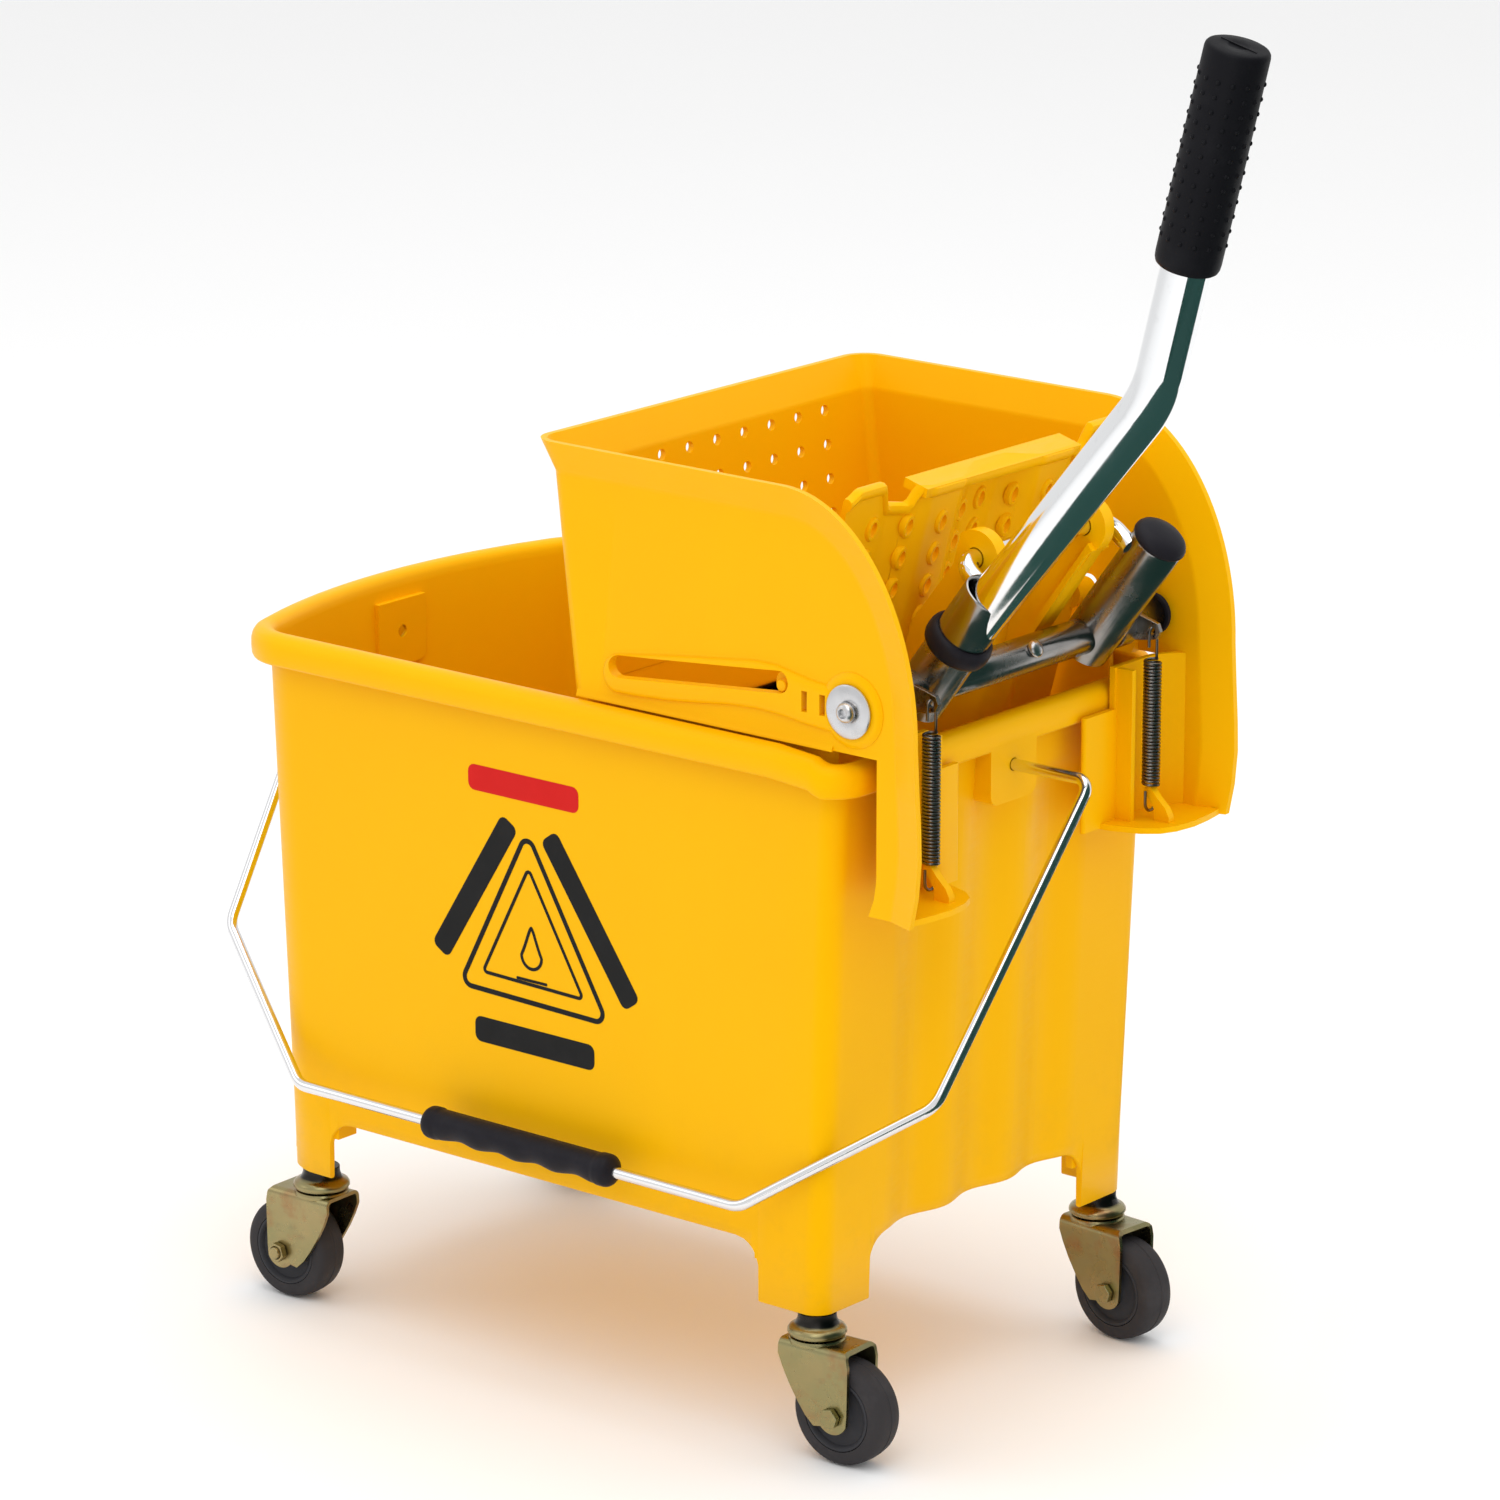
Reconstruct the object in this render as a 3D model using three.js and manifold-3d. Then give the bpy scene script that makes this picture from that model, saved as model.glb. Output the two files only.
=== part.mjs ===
// Mop bucket with a side-press wringer, on four swivel castors.
// Millimetres, +Z up. The wringer end is +X, the side with the safety mark is -Y, and the floor is z = 0.
import * as THREE from 'three';
import Module from 'manifold-3d';

const wasm = await Module();
wasm.setup();

// ---- driving dimensions -------------------------------------------------------------------------
const SHIFT = [-64.6, 6.9, 0];       // moves the whole object so its box is centred on the origin
const GAP = 0.3;                     // air left between two pieces that touch on the real object

const bucket = {
  legZ: 70, skirtZ: 99.4, floorZ: 112, lipLowZ: 324.6, rimZ: 339.5, wall: 3,
  rightBase: 170, rightTop: 180, leftBase: 185, leftTop: 195, halfBase: 116.7, halfTop: 118.4,
  bowRadius: 310, leftCorner: 25, rightCorner: 10, grooveDepth: 5, groovePitch: 48, grooveTopZ: 288,
  lipOut: 9.3, endRimDrop: 5, cutX: 134, cutY: 81, cutRadius: 14,
};
const stems = { rightX: 161, leftX: -152, rightY: 107, leftY: 104, bossRadius: 9.5, holeRadius: 4.3 };
const wheel = { radius: 25, width: 18, trail: 17, hubRadius: 17.5, axle: 3 };
const wringer = {
  topZ: 458, ribZ: 340, inner: 112.5, thick: 3, lowInner: 106, floorZ: 285, frontTopX: 8, frontSlope: 0.115,
  backX: 165, backTopZ: 322, wingX: 150, wingZ: 350, wingReach: 75.8, earX: 229, earZ: 267,
  flangeX: 201, pocketX: 192.5, hole: 2.1, rimDepth: 14, rimOut: 6.6,
};
const slot = { midX: 100, z: 362.5, rise: 5.45, fromX: 46, toX: 152, half: 5.2 };
const pivot = { x: 187, z: 360.4, tube: 8.5, bore: 7, halfTube: 107 };
const socket = { y: 62.5, tilt: 36.5, radius: 12.7, bore: 11.3, from: -10, top: 60.6, seat: 13 };
const rod = { x: 199, z: 418, radius: 4.5, armY: 40, legY: 54 };
const plate = { pinX: 146, pinZ: 362.2, pinUp: 2.5, pinRadius: 2.8, tilt: 15.8, down: 62, up: 96,
  half: 100.5, thick: 3, ridge: 9 };
const spring = { x: 206, y: 83, lowZ: 286, highZ: 346, radius: 4.4, wire: 0.8, hookZ: 274.6, tabZ: 360.4 };
const lever = { radius: 11, wall: 1.5, bendX: 311, bendZ: 511, topX: 350.5, topZ: 665 };
const bail = { z: 311, wire: 2.75, shoulder: 233, knee: 219, kneeDrop: 164, bar: 137, reach: 232, hang: 54.7,
  holePlus: 190, holeMinus: -200, gripLength: 118 };

// ---- colours ------------------------------------------------------------------------------------
const YELLOW = [0xf7b500, 0.42, 0];
const CHROME = [0xc9ccd0, 0.12, 1];
const STEEL = [0xa9abad, 0.35, 1];
const ZINC = [0x8f7a4c, 0.32, 1];
const BLACK = [0x151515, 0.6, 0];
const TYRE = [0x3b3a3c, 0.7, 0];
const HUB = [0x55565a, 0.55, 0];

const rad = (deg) => deg * Math.PI / 180;
const group = new THREE.Group();

// ---- mesh helpers -------------------------------------------------------------------------------
function geometry(points, faces) {
  const g = new THREE.BufferGeometry();
  g.setAttribute('position', new THREE.Float32BufferAttribute(points.flat(), 3));
  g.setIndex(faces.flat());
  return g;
}

// Joins rings of equal length into one closed skin; the first and the last ring are capped.
function loft(rings) {
  const n = rings[0].length;
  const points = rings.flat();
  const faces = [];
  for (let r = 0; r + 1 < rings.length; r += 1) {
    for (let i = 0; i < n; i += 1) {
      const j = (i + 1) % n;
      faces.push([r * n + i, r * n + j, (r + 1) * n + j], [r * n + i, (r + 1) * n + j, (r + 1) * n + i]);
    }
  }
  const flat = (ring, k) => ring.map((p) => p[k]).reduce((a, b) => a + b, 0) / n;
  const low = points.push([0, 1, 2].map((k) => flat(rings[0], k))) - 1;
  const high = points.push([0, 1, 2].map((k) => flat(rings[rings.length - 1], k))) - 1;
  const top = (rings.length - 1) * n;
  for (let i = 0; i < n; i += 1) {
    const j = (i + 1) % n;
    faces.push([low, j, i], [high, top + i, top + j]);
  }
  return geometry(points, faces);
}

function toSolid(g) {
  const indexed = g.index ? g : indexByPlace(g);
  const mesh = new wasm.Mesh({
    numProp: 3,
    vertProperties: new Float32Array(indexed.attributes.position.array),
    triVerts: new Uint32Array(indexed.index.array),
  });
  mesh.merge();
  return new wasm.Manifold(mesh);
}

function indexByPlace(g) {
  const p = (g.index ? g.toNonIndexed() : g).attributes.position;
  const seen = new Map();
  const points = [];
  const index = [];
  for (let i = 0; i < p.count; i += 1) {
    const at = [p.getX(i), p.getY(i), p.getZ(i)];
    const key = at.map((v) => Math.round(v * 1e4)).join();
    if (!seen.has(key)) seen.set(key, points.push(at) - 1);
    index.push(seen.get(key));
  }
  const faces = [];
  for (let i = 0; i < index.length; i += 3) {
    const f = index.slice(i, i + 3);
    if (new Set(f).size === 3) faces.push(f);
  }
  return geometry(points, faces);
}

function fromSolid(solid) {
  const mesh = solid.getMesh();
  const g = new THREE.BufferGeometry();
  g.setAttribute('position', new THREE.BufferAttribute(new Float32Array(mesh.vertProperties), 3));
  g.setIndex(new THREE.BufferAttribute(new Uint32Array(mesh.triVerts), 1));
  return g;
}

const box = (x0, x1, y0, y1, z0, z1) => toSolid(loft([z0, z1].map((z) => [
  [x0, y0, z], [x1, y0, z], [x1, y1, z], [x0, y1, z]])));

// A round bar from one point to another, with n sides; endRadius makes it a cone.
function bar(from, to, radius, n = 24, endRadius = radius) {
  const a = new THREE.Vector3(...from);
  const b = new THREE.Vector3(...to);
  return toSolid(loft([[a, radius], [b, endRadius]].map(([c, r]) => circle(c, b.clone().sub(a), r, n))));
}

function circle(centre, direction, radius, n) {
  const d = direction.clone().normalize();
  const side = new THREE.Vector3(0, 1, 0);
  if (Math.abs(d.y) > 0.9) side.set(0, 0, 1);
  const u = side.clone().cross(d).normalize();
  const v = d.clone().cross(u);
  return Array.from({ length: n }, (_, i) => {
    const t = 2 * Math.PI * (i + 0.5) / n;
    const out = centre.clone().addScaledVector(u, radius * Math.cos(t));
    return out.addScaledVector(v, radius * Math.sin(t)).toArray();
  });
}

// A round wire through the given points, with each corner bent to its own radius.
function wire(points, bends, radius, n = 12, steps = 5) {
  const path = rounded(points, bends, steps);
  const rings = [];
  let u = null;
  path.forEach((p, i) => {
    const before = path[Math.max(i - 1, 0)];
    const after = path[Math.min(i + 1, path.length - 1)];
    const d = after.clone().sub(before).normalize();
    const nearY = new THREE.Vector3(0, 1, 0).cross(d).length() <= 0.2;
    if (!u) u = nearY ? new THREE.Vector3(0, 0, 1) : new THREE.Vector3(0, 1, 0);
    u = u.clone().addScaledVector(d, -u.dot(d)).normalize();
    const v = d.clone().cross(u);
    rings.push(Array.from({ length: n }, (_, k) => {
      const t = 2 * Math.PI * k / n;
      const out = p.clone().addScaledVector(u, radius * Math.cos(t));
      return out.addScaledVector(v, radius * Math.sin(t)).toArray();
    }));
  });
  return toSolid(loft(rings));
}

function rounded(points, bends, steps) {
  const p = points.map((q) => new THREE.Vector3(...q));
  const path = [p[0]];
  for (let i = 1; i + 1 < p.length; i += 1) {
    const a = p[i - 1].clone().sub(p[i]).normalize();
    const b = p[i + 1].clone().sub(p[i]).normalize();
    const half = a.angleTo(b) / 2;
    const cut = bends[i - 1] / Math.tan(half);
    const centre = a.clone().add(b).normalize().multiplyScalar(bends[i - 1] / Math.sin(half)).add(p[i]);
    const start = p[i].clone().addScaledVector(a, cut).sub(centre);
    const end = p[i].clone().addScaledVector(b, cut).sub(centre);
    const sweep = start.angleTo(end);
    for (let k = 0; k <= steps; k += 1) {
      const t = k / steps;
      const w0 = Math.sin((1 - t) * sweep) / Math.sin(sweep);
      const w1 = Math.sin(t * sweep) / Math.sin(sweep);
      path.push(start.clone().multiplyScalar(w0).addScaledVector(end, w1).add(centre));
    }
  }
  path.push(p[p.length - 1]);
  return path;
}

// A flat XZ outline given thickness along Y.
function slabXZ(outline, y0, y1) {
  const shape = new THREE.Shape(outline.map(([x, z]) => new THREE.Vector2(x, z)));
  const g = new THREE.ExtrudeGeometry(shape, { depth: y1 - y0, bevelEnabled: false, curveSegments: 6 });
  g.rotateX(Math.PI / 2);
  g.translate(0, y1, 0);
  return toSolid(indexByPlace(g));
}

// A plan outline in XY given height along Z.
function slabXY(outline, z0, z1) {
  const shape = new THREE.Shape(outline.map(([x, y]) => new THREE.Vector2(x, y)));
  const g = new THREE.ExtrudeGeometry(shape, { depth: z1 - z0, bevelEnabled: false, curveSegments: 6 });
  g.translate(0, 0, z0);
  return toSolid(indexByPlace(g));
}

// Both sides of a polyline, so that it becomes a strip of the given thickness.
function strip(line, thickness) {
  const side = (sign) => line.map((p, i) => {
    const a = line[Math.max(i - 1, 0)];
    const b = line[Math.min(i + 1, line.length - 1)];
    const n = new THREE.Vector2(a[1] - b[1], b[0] - a[0]).normalize();
    return [p[0] + sign * n.x * thickness / 2, p[1] + sign * n.y * thickness / 2];
  });
  return [...side(1), ...side(-1).reverse()];
}

function arc(cx, cy, radius, fromDeg, toDeg, steps) {
  return Array.from({ length: steps + 1 }, (_, i) => {
    const t = rad(fromDeg + (toDeg - fromDeg) * i / steps);
    return [cx + radius * Math.cos(t), cy + radius * Math.sin(t)];
  });
}

const join = (solids) => solids.reduce((a, b) => a.add(b));
const cut = (solid, tools) => tools.reduce((a, b) => a.subtract(b), solid);
const mirrorY = (solid) => solid.mirror([0, 1, 0]);
const bothSides = (solid) => solid.add(mirrorY(solid));

// A turned body about the Z axis, from [radius, z] pairs that start and end on the axis.
function turned(profile, n = 24) {
  const g = new THREE.LatheGeometry(profile.map(([r, z]) => new THREE.Vector2(r, z)), n);
  g.rotateX(Math.PI / 2);
  return toSolid(indexByPlace(g));
}

function add(name, solid, [colour, roughness, metalness]) {
  const material = new THREE.MeshStandardMaterial({ color: colour, roughness, metalness });
  const mesh = new THREE.Mesh(fromSolid(solid.translate(SHIFT)), material);
  mesh.name = name;
  group.add(mesh);
}

// ---- bucket -------------------------------------------------------------------------------------
function bucketOutline(offset, z, grooved) {
  const t = (z - bucket.legZ) / (320 - bucket.legZ);
  const right = bucket.rightBase + (bucket.rightTop - bucket.rightBase) * t + offset;
  const left = bucket.leftBase + (bucket.leftTop - bucket.leftBase) * t + offset;
  const half = bucket.halfBase + (bucket.halfTop - bucket.halfBase) * t + offset;
  const rc = bucket.rightCorner + offset;
  const lc = bucket.leftCorner + offset;
  const end = endLine(right, half - rc, grooved);
  const bow = bucket.bowRadius + offset;
  const bowX = bow - left;
  const turn = Math.asin((half - lc) / (bow - lc)) * 180 / Math.PI;
  const cornerX = bowX - Math.cos(rad(turn)) * (bow - lc);
  return [
    ...end,
    ...arc(right - rc, half - rc, rc, 15, 90, 3),
    [0, half],
    ...arc(cornerX, half - lc, lc, 90, 180 - turn, 4),
    ...arc(bowX, 0, bow, 180 - turn, 180 + turn, 8).slice(1, -1),
    ...arc(cornerX, lc - half, lc, 180 + turn, 270, 4),
    [0, -half],
    ...arc(right - rc, rc - half, rc, 270, 345, 3),
  ];
}

function endLine(right, reach, grooved) {
  const points = [[right, -reach]];
  const span = 1.5 * bucket.groovePitch;
  for (let i = 0; i <= 12; i += 1) {
    const y = -span + i * span / 6;
    const wave = 0.5 + 0.5 * Math.cos(2 * Math.PI * y / bucket.groovePitch);
    points.push([right - grooved * bucket.grooveDepth * wave, y]);
  }
  points.push([right, reach]);
  return points;
}

function bucketRing([offset, z, grooved]) {
  return bucketOutline(offset, z, grooved).map(([x, y]) => {
    const atEnd = THREE.MathUtils.smoothstep(x, 165, 178) * (z > 310 ? 1 : 0);
    return [x, y, z - bucket.endRimDrop * atEnd];
  });
}

function bucketShell() {
  const b = bucket;
  const w = -b.wall;
  const profile = [
    [w, b.floorZ, 1], [w, b.legZ, 1], [0, b.legZ, 1], [0, b.grooveTopZ, 1], [0, 303, 0], [0, 331, 0],
    [1.5, 333, 0], [6.4, 332, 0], [6.6, b.lipLowZ, 0], [9, b.lipLowZ, 0], [b.lipOut, 333, 0],
    [7.2, 337.6, 0], [3.6, b.rimZ, 0], [-0.4, 338.8, 0], [w, 335.5, 0], [w, 303, 0], [w, b.grooveTopZ, 1],
    [w, 120, 1], [-7, 115, 1],
  ];
  return toSolid(loft(profile.map(bucketRing)));
}

function legArch(reach, alongX) {
  const b = bucket;
  const r = b.cutRadius;
  const outline = [
    [-reach, b.legZ - 8], [reach, b.legZ - 8],
    ...arc(reach - r, b.skirtZ - r, r, 0, 90, 5),
    ...arc(r - reach, b.skirtZ - r, r, 90, 180, 5),
  ];
  const slab = slabXZ(outline, -260, 260);
  return alongX ? slab : slab.rotate([0, 0, 90]);
}

const stemPlaces = [
  ['front_right', stems.rightX, -stems.rightY, 3], ['back_right', stems.rightX, stems.rightY, -5],
  ['front_left', stems.leftX, -stems.leftY, 182], ['back_left', stems.leftX, stems.leftY, 168],
];

function legInsides() {
  const b = bucket;
  const level = (z) => bucketOutline(-1.5, z, 0).map(([x, y]) => [x, y, z]);
  const inside = toSolid(loft([level(b.legZ), level(b.floorZ + 1)]));
  const legs = stemPlaces.map(([, x, y]) => {
    const sx = Math.sign(x);
    const sy = Math.sign(y);
    const span = (a, c) => [Math.min(a, c), Math.max(a, c)];
    const webX = box(...span(x, sx * 190), y - 1.2, y + 1.2, b.legZ + 4, b.floorZ + 1);
    const webY = box(x - 1.2, x + 1.2, ...span(y, sy * 118), b.legZ + 4, b.floorZ + 1);
    const ribX = box(...span(sx * 124, sx * 127), ...span(sy * 72, sy * 118), 86, b.floorZ + 1);
    const ribY = box(...span(sx * 124, sx * 190), ...span(sy * 72, sy * 75), 86, b.floorZ + 1);
    const boss = bar([x, y, b.legZ], [x, y, b.floorZ + 1], stems.bossRadius, 20);
    return join([webX, webY, ribX, ribY, boss]);
  });
  return join(legs).intersect(inside);
}

function bailPads() {
  const plus = box(177.5, bail.holePlus - 1, -17, 17, 294, 327);
  const minus = box(bail.holeMinus + 1, -190, -17, 17, 294, 327);
  return plus.add(minus);
}

function buildBucket() {
  const hollow = cut(bucketShell(), [legArch(bucket.cutX, true), legArch(bucket.cutY, false)]);
  const stemHoles = stemPlaces.map(([, x, y]) => bar([x, y, 60], [x, y, 104], stems.holeRadius, 16));
  const bailHole = bar([-210, 0, bail.z], [210, 0, bail.z], bail.wire + GAP, 16);
  const body = join([hollow, legInsides(), bailPads()]);
  add('bucket', cut(body, [...stemHoles, bailHole]), YELLOW);
}

// ---- wringer housing ----------------------------------------------------------------------------
const frontX = (z) => wringer.frontTopX + (451 - z) * wringer.frontSlope;

// The top and +X edge of a side wall, from the front wall round to the bottom of the spring pocket.
const wingEdge = [
  [6.5, wringer.topZ],
  ...arc(0, 0, 1, 90, 0, 9).map(([c, h]) => [
    wringer.wingX + wringer.wingReach * c, wringer.wingZ + (wringer.topZ - wringer.wingZ) * h]),
  [wringer.earX, wringer.earZ],
];

function sideWall() {
  const w = wringer;
  const outline = [
    ...wingEdge,
    [196, w.earZ], [w.flangeX - 1, 276], [w.flangeX, 290], [w.flangeX, w.ribZ], [frontX(w.ribZ), w.ribZ],
  ];
  const wall = slabXZ(outline, w.inner, w.inner + w.thick);
  const rib = box(frontX(w.ribZ), 178, w.lowInner, w.inner + 6, w.ribZ, w.ribZ + 4);
  const low = slabXZ([[frontX(w.floorZ), w.floorZ], [w.backX + 3, w.floorZ], [w.backX + 3, w.ribZ + 2],
    [frontX(w.ribZ), w.ribZ + 2]], w.lowInner, w.lowInner + w.thick);
  return join([wall, flaredRim(), rib, low]);
}

// The rim thickens outward towards its edge, as a wedge that follows the wing outside the flat wall.
function flaredRim() {
  const y = wringer.inner + 1;
  const rings = wingEdge.map(([x, z], i) => {
    const [ax, az] = wingEdge[Math.max(i - 1, 0)];
    const [bx, bz] = wingEdge[Math.min(i + 1, wingEdge.length - 1)];
    const d = new THREE.Vector2(bx - ax, bz - az).normalize();
    const at = (depth, reach) => [x + d.y * depth, y + reach, z - d.x * depth];
    const { rimDepth, rimOut } = wringer;
    return [at(0, 0), at(rimDepth, 0), at(rimDepth, 1.9), at(2.5, rimOut), at(0, rimOut)];
  });
  return toSolid(loft(rings));
}

function pivotBoss() {
  const y = wringer.inner + wringer.thick;
  return bar([pivot.x, y - 2, pivot.z], [pivot.x, y + 2, pivot.z], 17, 28, 15);
}

// The raised border round the slot, which runs on into the pivot boss.
function slotLip() {
  const y = wringer.inner;
  const outer = stadium(slot.fromX - 4, pivot.x - 8, -2.5, slot.half + 5).map(slotPlace);
  return slabXZ(outer, y, y + wringer.thick + 1.6);
}

// Puts a point drawn level, with z = 0 on the slot's middle line, onto the rising slot.
function slotPlace([x, z]) {
  const t = rad(slot.rise);
  const dx = x - slot.midX;
  return [slot.midX + dx * Math.cos(t) - z * Math.sin(t), slot.z + dx * Math.sin(t) + z * Math.cos(t)];
}

function stadium(x0, x1, z, r, steps = 6) {
  return [...arc(x1 - r, z, r, -90, 90, steps), ...arc(x0 + r, z, r, 90, 270, steps)];
}

function sideOpenings() {
  const y0 = wringer.inner - 3;
  const y1 = wringer.inner + 12;
  return [
    slabXZ(stadium(slot.fromX, slot.toX, 0, slot.half).map(slotPlace), y0, y1),
    box(159.5, 162.5, y0, y1, 355.7, 365.3),
    box(169.5, 173, y0, y1, 355.7, 365.5),
    bar([pivot.x, y0, pivot.z], [pivot.x, y1, pivot.z], 4 + GAP, 16),
  ];
}

function frontWall() {
  const w = wringer;
  const half = w.inner + 1;
  const section = (z0, z1, reach) => slabXZ([
    [frontX(z0), z0], [frontX(z0) + w.thick, z0], [frontX(z1) + w.thick, z1], [frontX(z1), z1]], -reach, reach);
  const foot = w.topZ - w.rimDepth;
  const rim = slabXZ([[frontX(foot), foot], [frontX(foot) + w.thick, foot], [frontX(w.topZ) + w.thick, w.topZ],
    [frontX(w.topZ) - 4.6, w.topZ], [frontX(w.topZ) - 4.6, w.topZ - 2.5]], -half - 3, half + 3);
  return join([section(w.floorZ, w.ribZ + 2, w.lowInner + 1), section(w.ribZ, w.topZ, half), rim]);
}

function frontHoles() {
  const holes = [];
  for (let row = 0; row < 5; row += 1) {
    for (let column = -4; column <= 4; column += 1) {
      const z = 437 - row * 16;
      holes.push(bar([0, column * 20, z], [40, column * 20, z], wringer.hole, 6));
    }
  }
  return join(holes);
}

function basin() {
  const w = wringer;
  const floor = box(frontX(w.floorZ), w.backX + w.thick, -w.lowInner - 1, w.lowInner + 1, w.floorZ, w.floorZ + 3);
  const back = box(w.backX, w.backX + w.thick, -w.lowInner - 1, w.lowInner + 1, w.floorZ, w.backTopZ);
  const slots = [];
  for (let row = 0; row < 6; row += 1) {
    for (const side of [-1, 1]) {
      const x = 44 + row * 22;
      slots.push(box(x, x + 8, side > 0 ? 10 : -92, side > 0 ? 92 : -10, w.floorZ - 2, w.floorZ + 5));
    }
  }
  return cut(floor, slots).add(back);
}

// The channel at each +X corner that holds a spring: back wall, rounded corner, floor and hook.
function springPocket() {
  const w = wringer;
  const line = [[w.pocketX, 48], [w.pocketX, 100], [w.pocketX + 1.5, 105.5], [w.pocketX + 5, 110.5],
    [w.flangeX + 1, 114]];
  const back = slabXY(strip(line, w.thick), w.earZ, w.ribZ + 4);
  const shelf = slabXY([[w.pocketX - 1.5, 74], [w.earX - 4, 78], [w.earX, 84], [w.earX, w.inner + w.thick],
    [w.flangeX, w.inner + w.thick], [w.pocketX - 1.5, 101]], w.earZ, w.earZ + w.thick);
  const hook = slabXZ([[209.5, w.earZ + 2], [217, w.earZ + 2], [217, 273], [206, 285.5], [203, 283.5],
    [209.5, 276.2]], spring.y - 2.2, spring.y + 2.2);
  return join([back, shelf, hook]);
}

function buildWringer() {
  const side = join([sideWall(), pivotBoss(), slotLip(), springPocket()]);
  const open = cut(side, sideOpenings());
  const front = cut(frontWall(), [frontHoles()]);
  add('wringer_housing', join([bothSides(open), front, basin()]), YELLOW);
}

// ---- lever frame --------------------------------------------------------------------------------
const along = (s, y, offset = 0) => {
  const t = rad(socket.tilt);
  return [pivot.x + s * Math.sin(t) - offset * Math.cos(t), y, pivot.z + s * Math.cos(t) + offset * Math.sin(t)];
};

function buildCrossTube() {
  const { x, z, halfTube } = pivot;
  const outer = bar([x, -halfTube, z], [x, halfTube, z], pivot.tube, 20);
  add('cross_tube', cut(outer, [bar([x, -halfTube - 1, z], [x, halfTube + 1, z], pivot.bore, 18),
    bar([x + 5, 7.5, z + 3], [x + 12, 7.5, z + 7], 2.2, 10)]), CHROME);
  const bush = join([
    bar([x, halfTube - 12, z], [x, halfTube + 1, z], pivot.bore - GAP, 16),
    bar([x, halfTube + GAP, z], [x, halfTube + 2.6, z], 10, 20)]);
  const bored = cut(bush, [bar([x, halfTube - 14, z], [x, halfTube + 4, z], 4 + GAP, 12)]);
  add('bush_front', mirrorY(bored), BLACK);
  add('bush_back', bored, BLACK);
  const screwHead = bar([x + 7.9, 7.5, z + 4.65], [x + 10.4, 7.5, z + 6.1], 4, 12, 2.6);
  add('cross_tube_screw', screwHead.add(bar([x + 5.4, 7.5, z + 3.2], [x + 9, 7.5, z + 5.3], 1.8, 10)), STEEL);
}

function socketSolid() {
  const body = bar(along(socket.from, socket.y), along(socket.top, socket.y), socket.radius, 22);
  return cut(body, [
    bar(along(socket.seat, socket.y), along(socket.top + 2, socket.y), socket.bore, 20),
    bar([pivot.x, 40, pivot.z], [pivot.x, 85, pivot.z], pivot.tube + GAP, 20)]);
}

function springTab() {
  const { x, z, tube } = pivot;
  const tab = slabXZ([[x + tube - 1, z - 6], [x + 17, z - 5], [x + 23.5, z - 3], [x + 23.5, z + 3], [x + 17, z + 5],
    [x + tube - 1, z + 6]], spring.y - 1.3, spring.y + 1.3);
  return cut(tab, [bar([x, 60, z], [x, 100, z], tube + GAP, 24),
    bar([spring.x, 60, spring.tabZ], [spring.x, 100, spring.tabZ], 1.9, 10)]);
}

function pressRod() {
  const t = rad(socket.tilt);
  const reach = (s) => [rod.x + s * Math.cos(t), rod.z - s * Math.sin(t)];
  const [ex, ez] = reach(18);
  const half = [[rod.x, 0, rod.z], [rod.x, rod.legY, rod.z], [ex, rod.legY, ez]];
  const path = [[ex, -rod.legY, ez], [rod.x, -rod.legY, rod.z], ...half.slice(1)];
  const bent = wire(path, [9, 9], rod.radius, 12, 4);
  const clear = bar(along(0, socket.y), along(80, socket.y), socket.radius + GAP, 20);
  return cut(bent, [clear, mirrorY(clear)]);
}

function buildLeverFrame() {
  buildCrossTube();
  const far = socketSolid();
  add('socket_back', far, CHROME);
  add('socket_front', mirrorY(far), CHROME);
  const tab = springTab();
  add('spring_tab_back', tab, STEEL);
  add('spring_tab_front', mirrorY(tab), STEEL);
  add('press_rod', pressRod(), CHROME);
  const ringHole = bar(along(20, -socket.y), along(40, -socket.y), socket.radius + GAP, 20);
  const ring = join([
    bar(along(25, -socket.y), along(27, -socket.y), 14.2, 20, 15.8),
    bar(along(27, -socket.y), along(33, -socket.y), 15.8, 20),
    bar(along(33, -socket.y), along(35, -socket.y), 15.8, 20, 14.2)]);
  add('socket_ring', cut(ring, [ringHole]), BLACK);
  const cap = join([
    bar(along(40, socket.y), along(socket.top + 1, socket.y), socket.bore - GAP, 16),
    bar(along(socket.top + GAP, socket.y), along(socket.top + 2.6, socket.y), 13.2, 20),
    bar(along(socket.top + 2.6, socket.y), along(socket.top + 5.2, socket.y), 13.2, 20, 9.5),
    bar(along(socket.top + 5.2, socket.y), along(socket.top + 6.3, socket.y), 9.5, 20, 4)]);
  add('socket_cap', cap, BLACK);
}

// ---- pivot bolts and washers, fixed in the housing ----------------------------------------------
function buildPivotBolts() {
  const face = wringer.inner + wringer.thick + 2 + GAP;
  const { x, z } = pivot;
  const bore = bar([x, face - 1, z], [x, face + 3, z], 4.25, 16);
  const washer = cut(bar([x, face, z], [x, face + 1.6, z], 12.5, 32), [bore]);
  const head = face + 1.6 + GAP;
  const collar = bar([x, head, z], [x, head + 1.4, z], 4.9, 16);
  const dome = bar([x, head + 1.4, z], [x, head + 3.4, z], 4.9, 16, 3.3);
  const shank = bar([x, 98, z], [x, head + 1, z], 3.9, 12);
  const recess = bar([x, head + 1.2, z], [x, head + 5, z], 2.2, 6);
  const bolt = cut(join([shank, collar, dome]), [recess]);
  add('pivot_washer_back', washer, STEEL);
  add('pivot_washer_front', mirrorY(washer), STEEL);
  add('pivot_bolt_back', bolt, STEEL);
  add('pivot_bolt_front', mirrorY(bolt), STEEL);
}

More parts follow.
